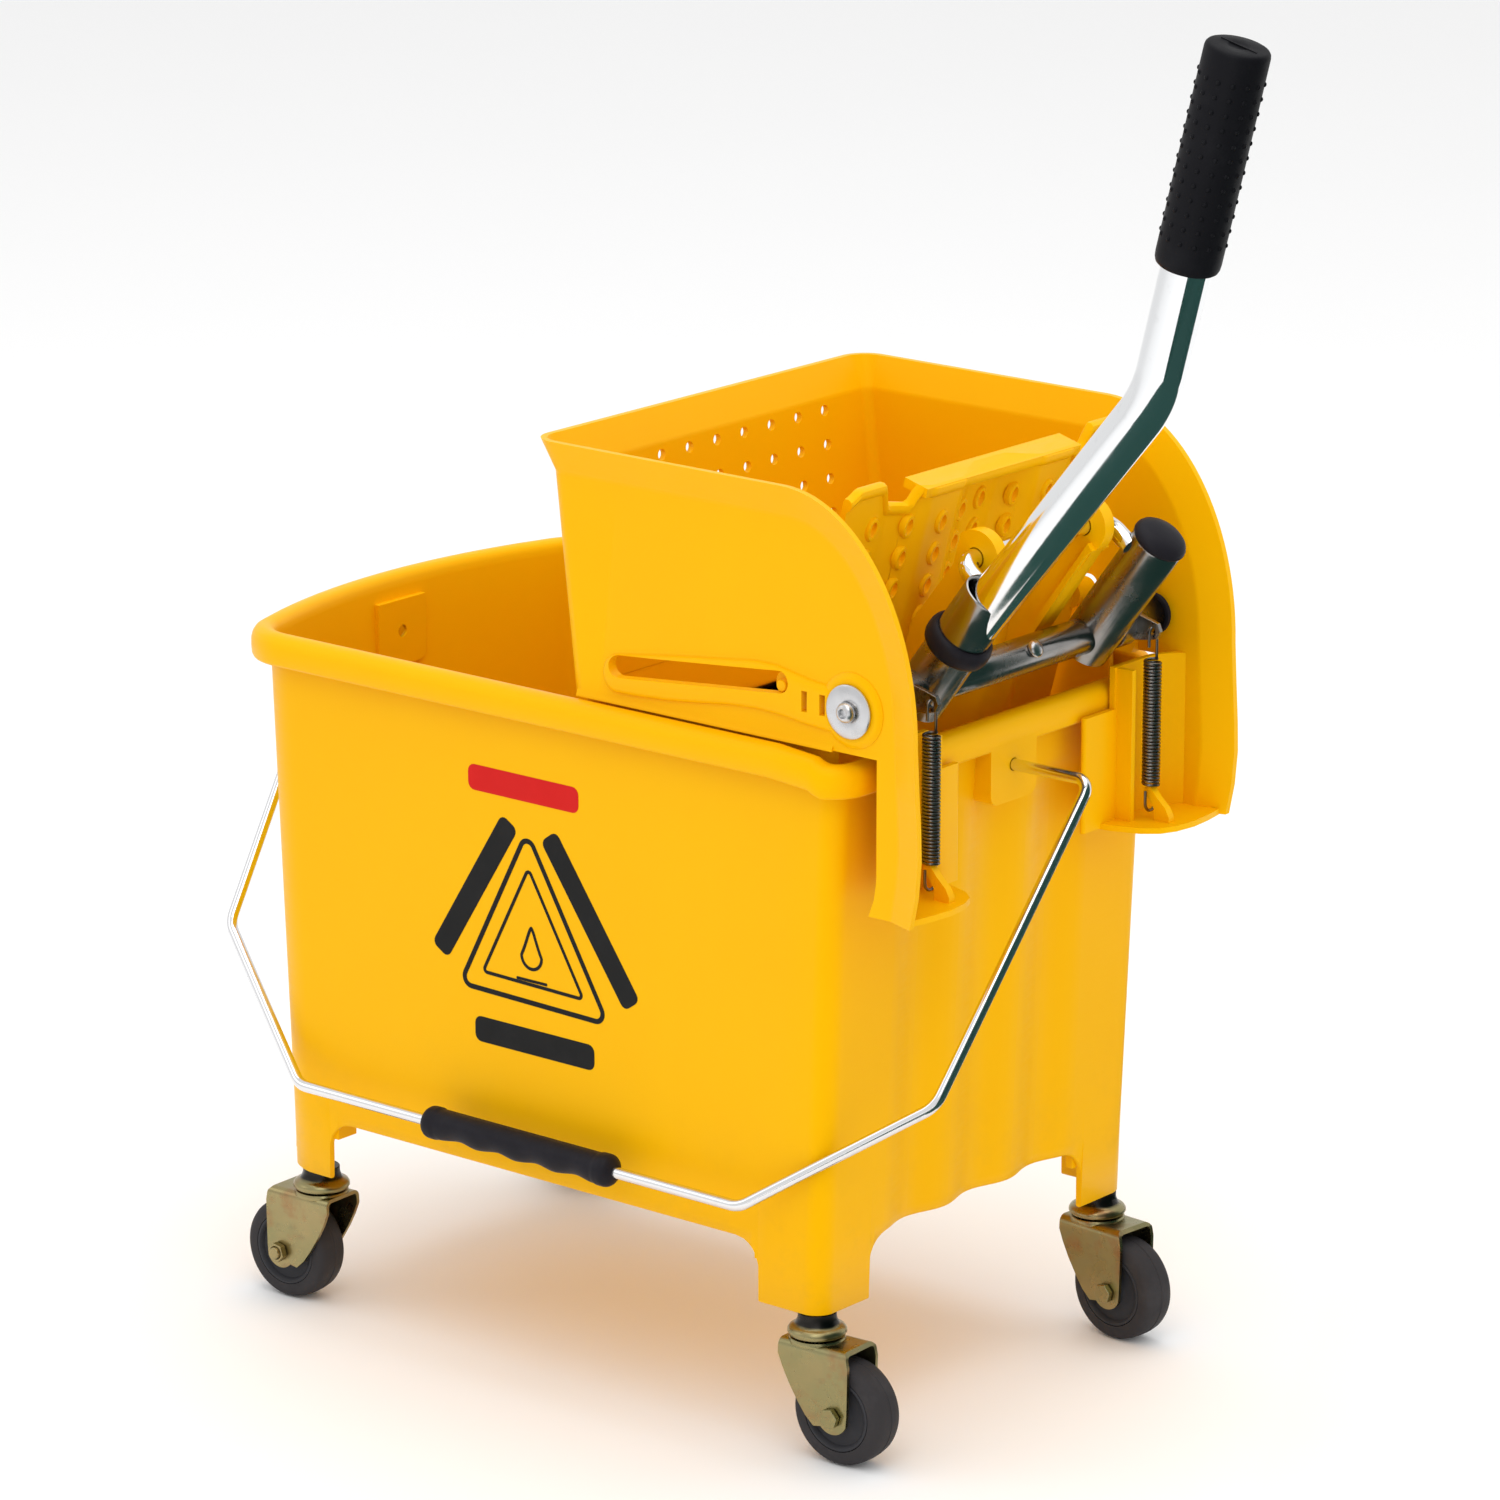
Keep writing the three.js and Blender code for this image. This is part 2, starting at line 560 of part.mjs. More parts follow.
// ---- presser plate ------------------------------------------------------------------------------
// Drawn upright with the pins at the origin, then leaned back by plate.tilt.
function plateLine() {
  const r = plate.ridge;
  const half = [[0, 10], [r, 30], [r, 50], [0, 70], [0, plate.half]];
  return [...half.map(([x, y]) => [x, -y]).reverse(), ...half];
}

function plateSheet() {
  const full = slabXY(strip(plateLine(), plate.thick), -plate.down, plate.up);
  const railZ = plate.up - 2;
  const rail = box(-2, plate.ridge + 1.5, -57, 57, railZ - 5, railZ);
  const overRail = box(-20, 20, -60, 60, railZ, plate.up + 5);
  const notch = box(-20, 20, 59, 74, plate.up - 11, plate.up + 5);
  const foot = box(-2, plate.ridge + 1.5, -60, 60, -plate.down, 3 - plate.down);
  const holes = [];
  for (const [y, x] of [[0, 0], [40, plate.ridge], [-40, plate.ridge], [84, 0], [-84, 0]]) {
    for (let row = 0; row < 4; row += 1) {
      const z = 78 - row * 30;
      const skip = Math.abs(y) === 40 && z < 40 && z > -40;
      if (!skip) holes.push(oblong(x, y, z));
    }
  }
  return cut(full.add(rail).add(foot), [overRail, bothSides(notch), ...holes]);
}

function oblong(x, y, z) {
  const outline = stadium(-5, 5, 0, 2, 2).map(([a, b]) => [b + y, a + z]);
  const slab = slabXY(outline, x - 5, x + 5);
  return slab.rotate([90, 0, 90]).translate([0, 0, 0]);
}

function plateArm() {
  const t = rad(plate.tilt);
  const dx = rod.x - plate.pinX;
  const dz = rod.z - plate.pinZ;
  const ex = dx * Math.cos(t) - dz * Math.sin(t);
  const ez = dx * Math.sin(t) + dz * Math.cos(t);
  const outline = [[plate.ridge, -22], [plate.ridge + 6, -18], [ex + 8.5, ez - 10.5],
    ...arc(ex, ez, 13, -30, 150, 6), [ex - 11.5, ez - 8.5], [plate.ridge, 22]];
  const arm = slabXZ(outline, rod.armY - 3.5, rod.armY + 3.5);
  return cut(arm, [bar([ex, 20, ez], [ex, 60, ez], rod.radius + GAP + 0.1, 20)]);
}

function buildPresser() {
  const solid = join([plateSheet(), bothSides(plateArm())]);
  const placed = solid.rotate([0, plate.tilt, 0]).translate([plate.pinX, 0, plate.pinZ]);
  const at = (y) => [plate.pinX, y, plate.pinZ + plate.pinUp];
  const collar = bar(at(98), at(wringer.inner - 1.2), 6.5, 16);
  const pin = join([collar, bar(at(98), at(115.6), plate.pinRadius, 16)]);
  add('presser_plate', placed.add(bothSides(pin)), YELLOW);
}

// ---- lever and grip -----------------------------------------------------------------------------
function leverPath() {
  const y = -socket.y;
  const mouth = along(socket.top + 4, y);
  return [along(socket.seat + 1, y), mouth, [lever.bendX, y, lever.bendZ], [lever.topX, y, lever.topZ]];
}

function buildLever() {
  const path = leverPath();
  const outer = wire(path, [70, 60], lever.radius, 18, 3);
  const long = path.map((p) => [...p]);
  const first = along(socket.seat - 1, -socket.y);
  const inner = wire([first, ...long.slice(1, 3), [lever.topX + 1, -socket.y, lever.topZ + 5]], [70, 60],
    lever.radius - lever.wall, 10, 3);
  add('lever_tube', cut(outer, [inner]), CHROME);
  const d = new THREE.Vector3(lever.topX - lever.bendX, 0, lever.topZ - lever.bendZ).normalize();
  const at = (s) => [lever.topX + d.x * s, -socket.y, lever.topZ + d.z * s];
  const profile = [[-98, 12.4], [-97, 13.7], [-95, 14.5], [1, 14.5], [2.6, 13.8], [3.4, 12.4]];
  const rings = profile.map(([s, r]) => circle(new THREE.Vector3(...at(s)), d, r, 22));
  const hole = bar(at(-100), at(GAP), lever.radius + GAP, 22);
  add('lever_grip', cut(toSolid(loft(rings)), [hole]), BLACK);
}

// ---- springs ------------------------------------------------------------------------------------
function springSolid() {
  const s = spring;
  const grooves = 5;
  const pitch = (s.highZ - s.lowZ) / grooves;
  const profile = [[0, s.lowZ]];
  for (let i = 0; i < grooves; i += 1) {
    profile.push([s.radius, s.lowZ + i * pitch + 0.4], [s.radius, s.lowZ + (i + 1) * pitch - 0.9]);
    if (i + 1 < grooves) profile.push([s.radius - 0.7, s.lowZ + (i + 1) * pitch - 0.25]);
  }
  profile.push([0, s.highZ]);
  const coil = turned(profile, 10).translate([s.x, s.y, 0]);
  return join([coil, springEye(s.highZ - 1, s.tabZ), springEye(s.lowZ + 1, s.hookZ)]);
}

// A wire eye that leaves the coil at one height and hangs on a tab or a hook at another.
function springEye(fromZ, toZ) {
  const s = spring;
  const out = 3.6;
  const path = [[s.x, s.y - out, fromZ], [s.x, s.y - out, toZ], [s.x, s.y + out, toZ], [s.x, s.y + out, fromZ]];
  return wire(path, [2.6, 2.6], s.wire, 6, 3);
}

function buildSprings() {
  const back = springSolid();
  add('spring_back', back, STEEL);
  add('spring_front', mirrorY(back), STEEL);
}

// ---- bail ---------------------------------------------------------------------------------------
function buildBail() {
  const b = bail;
  const t = rad(b.hang);
  const at = (x, reach) => [x, -reach * Math.cos(t), b.z - reach * Math.sin(t)];
  const path = [at(b.holePlus - 12, 0), at(b.shoulder, 0), at(b.knee, b.kneeDrop), at(b.bar, b.reach),
    at(-b.bar, b.reach), at(-b.knee, b.kneeDrop), at(-b.shoulder, 0), at(b.holeMinus + 10, 0)];
  add('bail', wire(path, [7, 14, 14, 14, 14, 7], b.wire, 8, 3), CHROME);
  const grip = [];
  const from = 4 - b.gripLength / 2;
  for (let i = 0; i <= 12; i += 1) {
    const x = from + b.gripLength * i / 12;
    const inner = Math.min(i, 12 - i) > 0;
    grip.push([x, inner ? 7.6 - 0.7 * Math.cos(Math.PI * i) : 5.6]);
  }
  const axis = new THREE.Vector3(1, 0, 0);
  const rings = grip.map(([x, r]) => circle(new THREE.Vector3(...at(x, b.reach)), axis, r, 12));
  const hole = bar(at(from - 5, b.reach), at(from + b.gripLength + 5, b.reach), b.wire + GAP, 10);
  add('bail_grip', cut(toSolid(loft(rings)), [hole]), BLACK);
}

// ---- castors ------------------------------------------------------------------------------------
function raceway() {
  const outer = turned([[0, 58.6], [13.6, 58.6], [14.3, 60], [13.6, 62.5], [9.8, 66.5], [9.8, bucket.legZ - GAP],
    [0, bucket.legZ - GAP]], 18);
  return cut(outer, [bar([0, 0, 50], [0, 0, 80], 4 + GAP, 16)]);
}

function stem() {
  return join([bar([0, 0, 53], [0, 0, 98], 4, 16), bar([0, 0, 51.4], [0, 0, 53.9], 7, 16)]);
}

function fork() {
  const w = wheel;
  const side = [[-13, 56.9], [-14, 52], [-6, 41], [8.6, 22], ...arc(w.trail, w.radius, 7.5, 200, 350, 4), [25.4, 52],
    [24.5, 56.9]];
  const cheek = slabXZ(side, 10.3, 12.1);
  const top = slabXY([[-13, -12.1], [24.5, -12.1], [24.5, 12.1], [-13, 12.1]], 54.6, 56.9);
  const crown = join([bar([0, 0, 54.6], [0, 0, 58.2], 13.8, 18)]);
  const holes = [bar([w.trail, -20, w.radius], [w.trail, 20, w.radius], w.axle + 0.25, 14),
    bar([0, 0, 40], [0, 0, 60], 4 + GAP, 16)];
  return cut(join([bothSides(cheek), top, crown]), holes);
}

function wheelParts() {
  const w = wheel;
  const place = (solid) => solid.rotate([90, 0, 0]).translate([w.trail, 0, w.radius]);
  const h = w.width / 2;
  const tyre = turned([[0, -h], [w.radius - 4, -h], [w.radius - 1.2, 1.6 - h], [w.radius, -h * 0.4],
    [w.radius, h * 0.4], [w.radius - 1.2, h - 1.6], [w.radius - 4, h], [0, h]], 26);
  const seat = turned([[0, -h - 1], [w.hubRadius + GAP, -h - 1], [w.hubRadius + GAP, h + 1], [0, h + 1]], 18);
  const hub = turned([[0, -h - 0.4], [6, -h - 0.4], [7, -h + 2.4], [15, -h + 2.4], [15, -h],
    [w.hubRadius, -h], [w.hubRadius, h], [15, h], [15, h - 2.4], [7, h - 2.4], [6, h + 0.4], [0, h + 0.4]], 18);
  const bore = turned([[0, -20], [w.axle + GAP, -20], [w.axle + GAP, 20], [0, 20]], 10);
  return { tyre: place(cut(tyre, [seat])), hub: place(cut(hub, [bore])) };
}

function axleParts() {
  const w = wheel;
  const y = 12.1 + GAP;
  const bolt = join([bar([w.trail, -15.4, w.radius], [w.trail, -y, w.radius], 5, 6),
    bar([w.trail, -y - 1, w.radius], [w.trail, 17.6, w.radius], w.axle, 14)]);
  const nut = cut(bar([w.trail, y, w.radius], [w.trail, y + 3.6, w.radius], 5, 6),
    [bar([w.trail, 0, w.radius], [w.trail, 20, w.radius], w.axle + GAP, 14)]);
  return { bolt, nut };
}

function buildCastors() {
  const { tyre, hub } = wheelParts();
  const { bolt, nut } = axleParts();
  const parts = [['stem', stem(), ZINC], ['raceway', raceway(), ZINC], ['fork', fork(), ZINC], ['axle_bolt', bolt, STEEL],
    ['axle_nut', nut, STEEL], ['wheel_hub', hub, HUB], ['wheel_tyre', tyre, TYRE]];
  for (const [place, x, y, yaw] of stemPlaces) {
    for (const [name, solid, finish] of parts) {
      add(`${name}_${place}`, solid.rotate([0, 0, yaw]).translate([x, y, 0]), finish);
    }
  }
}

buildBucket();
buildWringer();
buildPivotBolts();
buildLeverFrame();
buildPresser();
buildLever();
buildSprings();
buildBail();
buildCastors();

export default group;
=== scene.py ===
"""Looks for the mop bucket with wringer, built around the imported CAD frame.

Drawn in the CAD's own drawing frame (millimetres, x = 0 at the middle of the bucket) and moved by SHIFT.
+X is the wringer end, -Y the side with the bail and the mark, +Z up.
"""
import math

import bmesh
import bpy
from mathutils import Matrix, Vector


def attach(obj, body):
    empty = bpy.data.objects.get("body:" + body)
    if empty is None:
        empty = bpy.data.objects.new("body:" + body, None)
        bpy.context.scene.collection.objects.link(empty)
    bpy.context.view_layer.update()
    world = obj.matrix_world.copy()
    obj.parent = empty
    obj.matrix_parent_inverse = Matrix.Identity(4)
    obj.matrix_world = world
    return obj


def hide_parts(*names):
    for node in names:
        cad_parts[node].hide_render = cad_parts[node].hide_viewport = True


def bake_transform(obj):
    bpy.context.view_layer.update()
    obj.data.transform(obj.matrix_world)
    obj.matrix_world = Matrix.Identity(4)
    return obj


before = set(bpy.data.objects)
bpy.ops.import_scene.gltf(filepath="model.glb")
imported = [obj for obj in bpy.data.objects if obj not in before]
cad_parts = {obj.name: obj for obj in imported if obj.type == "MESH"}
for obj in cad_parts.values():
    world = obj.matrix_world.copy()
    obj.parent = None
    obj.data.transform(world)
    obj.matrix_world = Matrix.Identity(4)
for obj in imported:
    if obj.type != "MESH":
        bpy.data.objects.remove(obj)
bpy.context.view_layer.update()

SHIFT = Vector((-64.6, 6.9, 0.0))
MM = 0.001
STEMS = {
    "front_right": (161, -107, 3), "back_right": (161, 107, -5),
    "front_left": (-152, -104, 182), "back_left": (-152, 104, 168),
}
PIVOT = Vector((187, 0, 360.4))
TILT = math.radians(36.5)
SOCKET_Y = 62.5
ROD = Vector((199, 0, 418))
PLATE_PIN = Vector((146, 0, 362.2))
PLATE_TILT = math.radians(15.8)


# ---- materials ----------------------------------------------------------------------------------
class Look:
    """A Principled material with helpers that hang procedural detail on it."""

    def __init__(self, name, colour, rough, metal=0.0, **extra):
        self.mat = bpy.data.materials.new(name)
        self.mat.use_nodes = True
        self.tree = self.mat.node_tree
        self.shader = self.tree.nodes["Principled BSDF"]
        self.colour = colour
        self.shader.inputs["Base Color"].default_value = (*colour, 1)
        self.shader.inputs["Roughness"].default_value = rough
        self.shader.inputs["Metallic"].default_value = metal
        for key, value in extra.items():
            self.shader.inputs[key.replace("_", " ")].default_value = value
        self.coords = self.add("ShaderNodeTexCoord").outputs["Object"]

    def add(self, kind, **inputs):
        node = self.tree.nodes.new(kind)
        for key, value in inputs.items():
            node.inputs[key.replace("_", " ")].default_value = value
        return node

    def link(self, a, b):
        self.tree.links.new(a, b)

    def noise(self, scale, detail=4.0, rough=0.5, stretch=None):
        node = self.add("ShaderNodeTexNoise", Scale=scale, Detail=detail, Roughness=rough)
        source = self.coords
        if stretch:
            mapping = self.add("ShaderNodeMapping", Scale=stretch)
            self.link(self.coords, mapping.inputs["Vector"])
            source = mapping.outputs["Vector"]
        self.link(source, node.inputs["Vector"])
        return node.outputs[0]

    def ramp(self, value, low, high, a=0.0, b=1.0):
        node = self.add("ShaderNodeMapRange")
        for key, v in (("From Min", low), ("From Max", high), ("To Min", a), ("To Max", b)):
            node.inputs[key].default_value = v
        self.link(value, node.inputs["Value"])
        return node.outputs["Result"]

    def tint(self, factor, colour):
        """Mixes a second colour into the base colour by a factor output."""
        mix = self.add("ShaderNodeMix")
        mix.data_type = "RGBA"
        before = self.shader.inputs["Base Color"]
        if before.is_linked:
            self.link(before.links[0].from_socket, mix.inputs[6])
        else:
            mix.inputs[6].default_value = (*self.colour, 1)
        mix.inputs[7].default_value = (*colour, 1)
        self.link(factor, mix.inputs[0])
        self.link(mix.outputs[2], before)

    def roughness(self, factor, low, high):
        self.link(self.ramp(factor, 0.3, 0.7, low, high), self.shader.inputs["Roughness"])

    def bump(self, height, strength, distance):
        node = self.add("ShaderNodeBump", Strength=strength, Distance=distance)
        self.link(height, node.inputs["Height"])
        normal = self.shader.inputs["Normal"]
        if normal.is_linked:
            self.link(normal.links[0].from_socket, node.inputs["Normal"])
        self.link(node.outputs["Normal"], normal)

    def height_band(self, low, high):
        """1 at z = low, changing to 0 at z = high, in metres."""
        split = self.add("ShaderNodeSeparateXYZ")
        self.link(self.coords, split.inputs[0])
        return self.ramp(split.outputs["Z"], low, high, 1.0, 0.0)

    def times(self, a, b):
        node = self.add("ShaderNodeMath")
        node.operation = "MULTIPLY"
        self.link(a, node.inputs[0])
        self.link(b, node.inputs[1])
        return node.outputs[0]


def yellow_plastic(name, colour):
    look = Look(name, colour, 0.4, Subsurface_Weight=0.06, Subsurface_Scale=0.004, Specular_IOR_Level=0.3)
    look.shader.inputs["Specular Tint"].default_value = (1.0, 0.72, 0.1, 1.0)
    look.shader.inputs["Subsurface Radius"].default_value = (1.0, 0.45, 0.05)
    cloud = look.noise(9, 3)
    flow = look.noise(5, 5, 0.6, (3.5, 3.5, 0.35))
    fine = look.noise(1400, 2)
    scratch = look.noise(60, 6, 0.7, (1, 1, 14))
    look.tint(look.ramp(cloud, 0.42, 0.75, 0, 0.25), (colour[0] * 0.95, colour[1] * 0.88, 0.0))
    look.tint(look.ramp(flow, 0.55, 0.8, 0, 0.16), (0.96, colour[1] * 1.12, 0.0))
    # darker towards the bottom: patchy brown darkening over the band from 7 to 16 cm up
    low_band_darkening = look.times(look.height_band(0.07, 0.16), look.ramp(look.noise(40, 6, 0.7), 0.5, 0.8, 0, 0.3))
    look.tint(low_band_darkening, (0.55, 0.3, 0.03))
    look.roughness(scratch, 0.34, 0.47)
    look.bump(fine, 0.08, 0.0002)
    look.bump(look.noise(22, 2), 0.10, 0.0016)
    return look.mat


def chrome(name, colour, rough=0.06):
    look = Look(name, colour, rough, 1.0)
    look.roughness(look.noise(35, 5, 0.65), rough * 0.7, rough * 2.2)
    look.tint(look.ramp(look.noise(120, 4), 0.62, 0.8, 0, 0.35), tuple(c * 0.72 for c in colour))
    look.bump(look.noise(300, 3), 0.02, 0.0003)
    return look.mat


def steel(name, colour, rough=0.3):
    look = Look(name, colour, rough, 1.0)
    look.roughness(look.noise(90, 6, 0.7, (1, 6, 1)), rough * 0.7, rough * 1.4)
    look.tint(look.ramp(look.noise(70, 5), 0.5, 0.75, 0, 0.4), tuple(c * 0.6 for c in colour))
    look.bump(look.noise(900, 2, 0.5, (1, 8, 1)), 0.06, 0.0002)
    return look.mat


def zinc(name):
    look = Look(name, (0.36, 0.29, 0.14), 0.3, 1.0)
    look.tint(look.ramp(look.noise(38, 3), 0.38, 0.6), (0.30, 0.27, 0.13))
    look.tint(look.ramp(look.noise(55, 4, 0.6), 0.52, 0.7, 0, 0.85), (0.32, 0.17, 0.08))
    look.tint(look.ramp(look.noise(160, 4), 0.6, 0.8, 0, 0.5), (0.2, 0.17, 0.1))
    # painted shade: the zinc goes near black above 64.5 mm, on the raceway's neck in the shade under the
    # bucket's leg
    look.tint(look.height_band(0.0645, 0.0632), (0.03, 0.028, 0.025))
    look.roughness(look.noise(120, 5), 0.22, 0.38)
    look.bump(look.noise(700, 3), 0.05, 0.0002)
    return look.mat


def dark(name, colour, low, high, grain, strength, light=0.25):
    look = Look(name, colour, (low + high) / 2, Specular_IOR_Level=0.1)
    pale = tuple(min(1, c * 1.9 + 0.01) for c in colour)
    look.tint(look.ramp(look.noise(60, 5, 0.65), 0.5, 0.8, 0, light), pale)
    look.roughness(look.noise(45, 5), low, high)
    look.bump(look.noise(grain, 3), strength, 0.0004)
    return look.mat


YELLOW = yellow_plastic("yellow_plastic", (0.93, 0.475, 0.0))
CHROME = chrome("chrome", (0.86, 0.87, 0.88))
WIRE = chrome("bright_wire", (0.80, 0.80, 0.81), 0.1)
TUBE = chrome("socket_chrome", (0.33, 0.32, 0.31), 0.16)
STEEL = steel("bare_steel", (0.62, 0.62, 0.63))
SPRING = steel("spring_steel", (0.24, 0.23, 0.22), 0.3)
ZINC = zinc("yellow_zinc")
BLACK = dark("black_plastic", (0.014, 0.013, 0.017), 0.35, 0.5, 500, 0.08)
GRIP = dark("grip_rubber", (0.006, 0.006, 0.008), 0.42, 0.6, 700, 0.15)
TYRE = dark("tyre", (0.040, 0.037, 0.039), 0.5, 0.68, 500, 0.3, 0.3)
HUB = dark("hub_plastic", (0.040, 0.040, 0.045), 0.45, 0.6, 600, 0.12, 0.2)
INK = dark("black_print", (0.012, 0.012, 0.012), 0.4, 0.55, 500, 0.05)
RED = dark("red_print", (0.62, 0.012, 0.01), 0.4, 0.55, 500, 0.05, 0.1)


# ---- mesh helpers -------------------------------------------------------------------------------
SHARP = 38  # degrees between two faces from which their edge counts as sharp


def add_mesh(name, points, faces, material):
    """An object from points in metres."""
    mesh = bpy.data.meshes.new(name)
    mesh.from_pydata(points, [], faces)
    mesh.materials.append(material)
    obj = bpy.data.objects.new(name, mesh)
    bpy.context.collection.objects.link(obj)
    return obj


def piece(name, points, faces, material, body, slot, nodes=(), sharp=SHARP, weld=0.0):
    """An object from points in the drawing frame, riding a body where one is named."""
    obj = add_mesh(name, [(Vector(p) + SHIFT) * MM for p in points], faces, material)
    tidy(obj, sharp, weld)
    if body:
        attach(obj, body)
    if nodes:
        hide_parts(*nodes)
    return obj


def stand_in(node, part, material, body, slot, sharp=SHARP):
    """The look of one CAD node, which it replaces."""
    return piece(f"{node}_look", *part, material, body, slot, [node], sharp)


def tidy(obj, sharp, weld):
    """Outward faces, smooth shading, and sharp edges where faces meet steeply; weld is in metres."""
    bm = bmesh.new()
    bm.from_mesh(obj.data)
    if weld:
        bmesh.ops.remove_doubles(bm, verts=bm.verts, dist=weld)
    bmesh.ops.recalc_face_normals(bm, faces=bm.faces)
    for face in bm.faces:
        face.smooth = True
    for edge in bm.edges:
        edge.smooth = len(edge.link_faces) != 2 or edge.calc_face_angle(0) < math.radians(sharp)
    bm.to_mesh(obj.data)
    bm.free()


def loft(rings, caps=True):
    """Points and faces of a skin through rings of equal length."""
    n = len(rings[0])
    points = [p for ring in rings for p in ring]
    faces = []
    for r in range(len(rings) - 1):
        for i in range(n):
            j = (i + 1) % n
            faces.append((r * n + i, r * n + j, (r + 1) * n + j, (r + 1) * n + i))
    if caps:
        top = (len(rings) - 1) * n
        faces += [tuple(reversed(range(n))), tuple(top + i for i in range(n))]
    return points, faces


def basis(direction):
    """The unit direction and two unit vectors square to it."""
    d = Vector(direction).normalized()
    side = Vector((0, 1, 0)) if abs(d.y) < 0.9 else Vector((0, 0, 1))
    u = side.cross(d).normalized()
    return d, u, d.cross(u)


def turns(n):
    """Angles of n even steps round a circle."""
    return [2 * math.pi * i / n for i in range(n)]


def lathe(profile, centre, axis, n=48):
    """Rings for (radius, distance along the axis) pairs round a line."""
    d, u, v = basis(axis)
    c = Vector(centre)
    rings = []
    for r, s in profile:
        r = max(r, 0.01)
        rings.append([c + d * s + (u * math.cos(t) + v * math.sin(t)) * r for t in turns(n)])
    return loft(rings)


def ring_lathe(profile, centre, axis, n=48):
    """As lathe, for a profile that closes on itself away from the axis."""
    d, u, v = basis(axis)
    c = Vector(centre)
    rings = []
    for t in turns(n):
        out = u * math.cos(t) + v * math.sin(t)
        rings.append([c + d * s + out * r for r, s in profile])
    k = len(profile)
    points, faces = loft(rings, caps=False)
    last = (n - 1) * k
    for i in range(k):
        j = (i + 1) % k
        faces.append((last + i, last + j, j, i))
    return points, faces


def rounded_path(points, bends, steps):
    """A line through the points with its inner corners rounded by the bend radii."""
    p = [Vector(q) for q in points]
    path = [p[0]]
    for i in range(1, len(p) - 1):
        a, b = (p[i - 1] - p[i]).normalized(), (p[i + 1] - p[i]).normalized()
        half = a.angle(b) / 2
        cut = bends[i - 1] / math.tan(half)
        centre = p[i] + (a + b).normalized() * (bends[i - 1] / math.sin(half))
        start, end = p[i] + a * cut - centre, p[i] + b * cut - centre
        for k in range(steps + 1):
            path.append(centre + start.slerp(end, k / steps) * bends[i - 1])
    path.append(p[-1])
    return path


def tube(path, radius, n=20):
    """A round bar along a path; radius is one number or one for each point."""
    radii = radius if isinstance(radius, (list, tuple)) else [radius] * len(path)
    rings, u = [], None
    for i, p in enumerate(path):
        d = (path[min(i + 1, len(path) - 1)] - path[max(i - 1, 0)]).normalized()
        u = basis(d)[1] if u is None else (u - d * u.dot(d)).normalized()
        v = d.cross(u)
        rings.append([p + (u * math.cos(t) + v * math.sin(t)) * radii[i] for t in turns(n)])
    return loft(rings)


def prism(outline, plane, low, high):
    """A flat outline given thickness along the axis that the plane leaves out."""
    order = {"XY": (0, 1, 2), "XZ": (0, 2, 1), "YZ": (2, 0, 1)}[plane]
    return loft([[Vector([(a, b, h)[k] for k in order]) for a, b in outline] for h in (low, high)])


def block(x, y, z):
    return prism([(x[0], y[0]), (x[1], y[0]), (x[1], y[1]), (x[0], y[1])], "XY", *z)


def arc(cx, cy, r, a, b, steps):
    return [(cx + r * math.cos(math.radians(a + (b - a) * i / steps)),
             cy + r * math.sin(math.radians(a + (b - a) * i / steps))) for i in range(steps + 1)]


def gather(*parts):
    """Several (points, faces) as one."""
    points, faces = [], []
    for p, f in parts:
        base = len(points)
        points += p
        faces += [tuple(base + i for i in g) for g in f]
    return points, faces


def flip_y(part):
    return [Vector((p[0], -p[1], p[2])) for p in map(Vector, part[0])], [tuple(reversed(f)) for f in part[1]]


def turned(part, angle, axis, centre):
    m = Matrix.Translation(centre) @ Matrix.Rotation(angle, 4, axis) @ Matrix.Translation(-Vector(centre))
    return [m @ Vector(p) for p in part[0]], part[1]


def shifted(part, by):
    return [Vector(p) + by for p in part[0]], part[1]


def solid(*parts, cuts=(), common=()):
    """Joins closed parts, keeps what they share with others and cuts others out; gives (points, faces)."""
    base = piece("solid", *parts[0], YELLOW, None, None, weld=1e-6)
    for group, how in ((parts[1:], "UNION"), (common, "INTERSECT"), (cuts, "DIFFERENCE")):
        for part in group:
            tool = piece("tool", *part, YELLOW, None, None, weld=1e-6)
            mod = base.modifiers.new("b", "BOOLEAN")
            mod.object, mod.operation, mod.solver = tool, how, "EXACT"
            mod.use_self = how == "DIFFERENCE"
            apply_all(base)
            bpy.data.objects.remove(tool)
    points = [v.co / MM - SHIFT for v in base.data.vertices]
    faces = [tuple(p.vertices) for p in base.data.polygons]
    bpy.data.objects.remove(base)
    return points, faces


def apply_all(obj):
    """Makes what the modifiers show the object's own mesh."""
    dg = bpy.context.evaluated_depsgraph_get()
    mesh = bpy.data.meshes.new_from_object(obj.evaluated_get(dg))
    obj.modifiers.clear()
    obj.data = mesh


def soften(obj, width, segments=2):
    """Rounds the steep edges by a width in millimetres."""
    mod = obj.modifiers.new("edges", "BEVEL")
    mod.width, mod.segments = width * MM, segments
    mod.limit_method, mod.angle_limit = "ANGLE", math.radians(SHARP)
    mod.harden_normals = True
    mod.use_clamp_overlap = True


def smooth(t):
    t = min(max(t, 0.0), 1.0)
    return t * t * (3 - 2 * t)


# ---- bucket -------------------------------------------------------------------------------------
LEG_Z, SKIRT_Z, FLOOR_Z = 70.0, 99.4, 112.0
CUT_X, CUT_Y, CUT_R = 134.0, 81.0, 14.0
GROOVE_PITCH, GROOVE_DEPTH, GROOVED_HALF = 48.0, 5.0, 72.1
BAIL_Z = 311.0
SIDES = (("back", 1), ("front", -1))


def arch_stations(cut, reach):
    """Places along a side, with a pair at each leg's edge and a few round the arch's corner."""
    corner = [cut - CUT_R * (1 - math.cos(math.radians(a))) for a in (8, 25, 40, 55, 70, 90)]
    middle = [corner[-1] * i / 14 for i in range(14)]
    half = sorted({*middle, *corner, cut - 0.05, cut + 0.05, cut + 6, reach})
    return [-s for s in reversed(half) if s > 0] + half


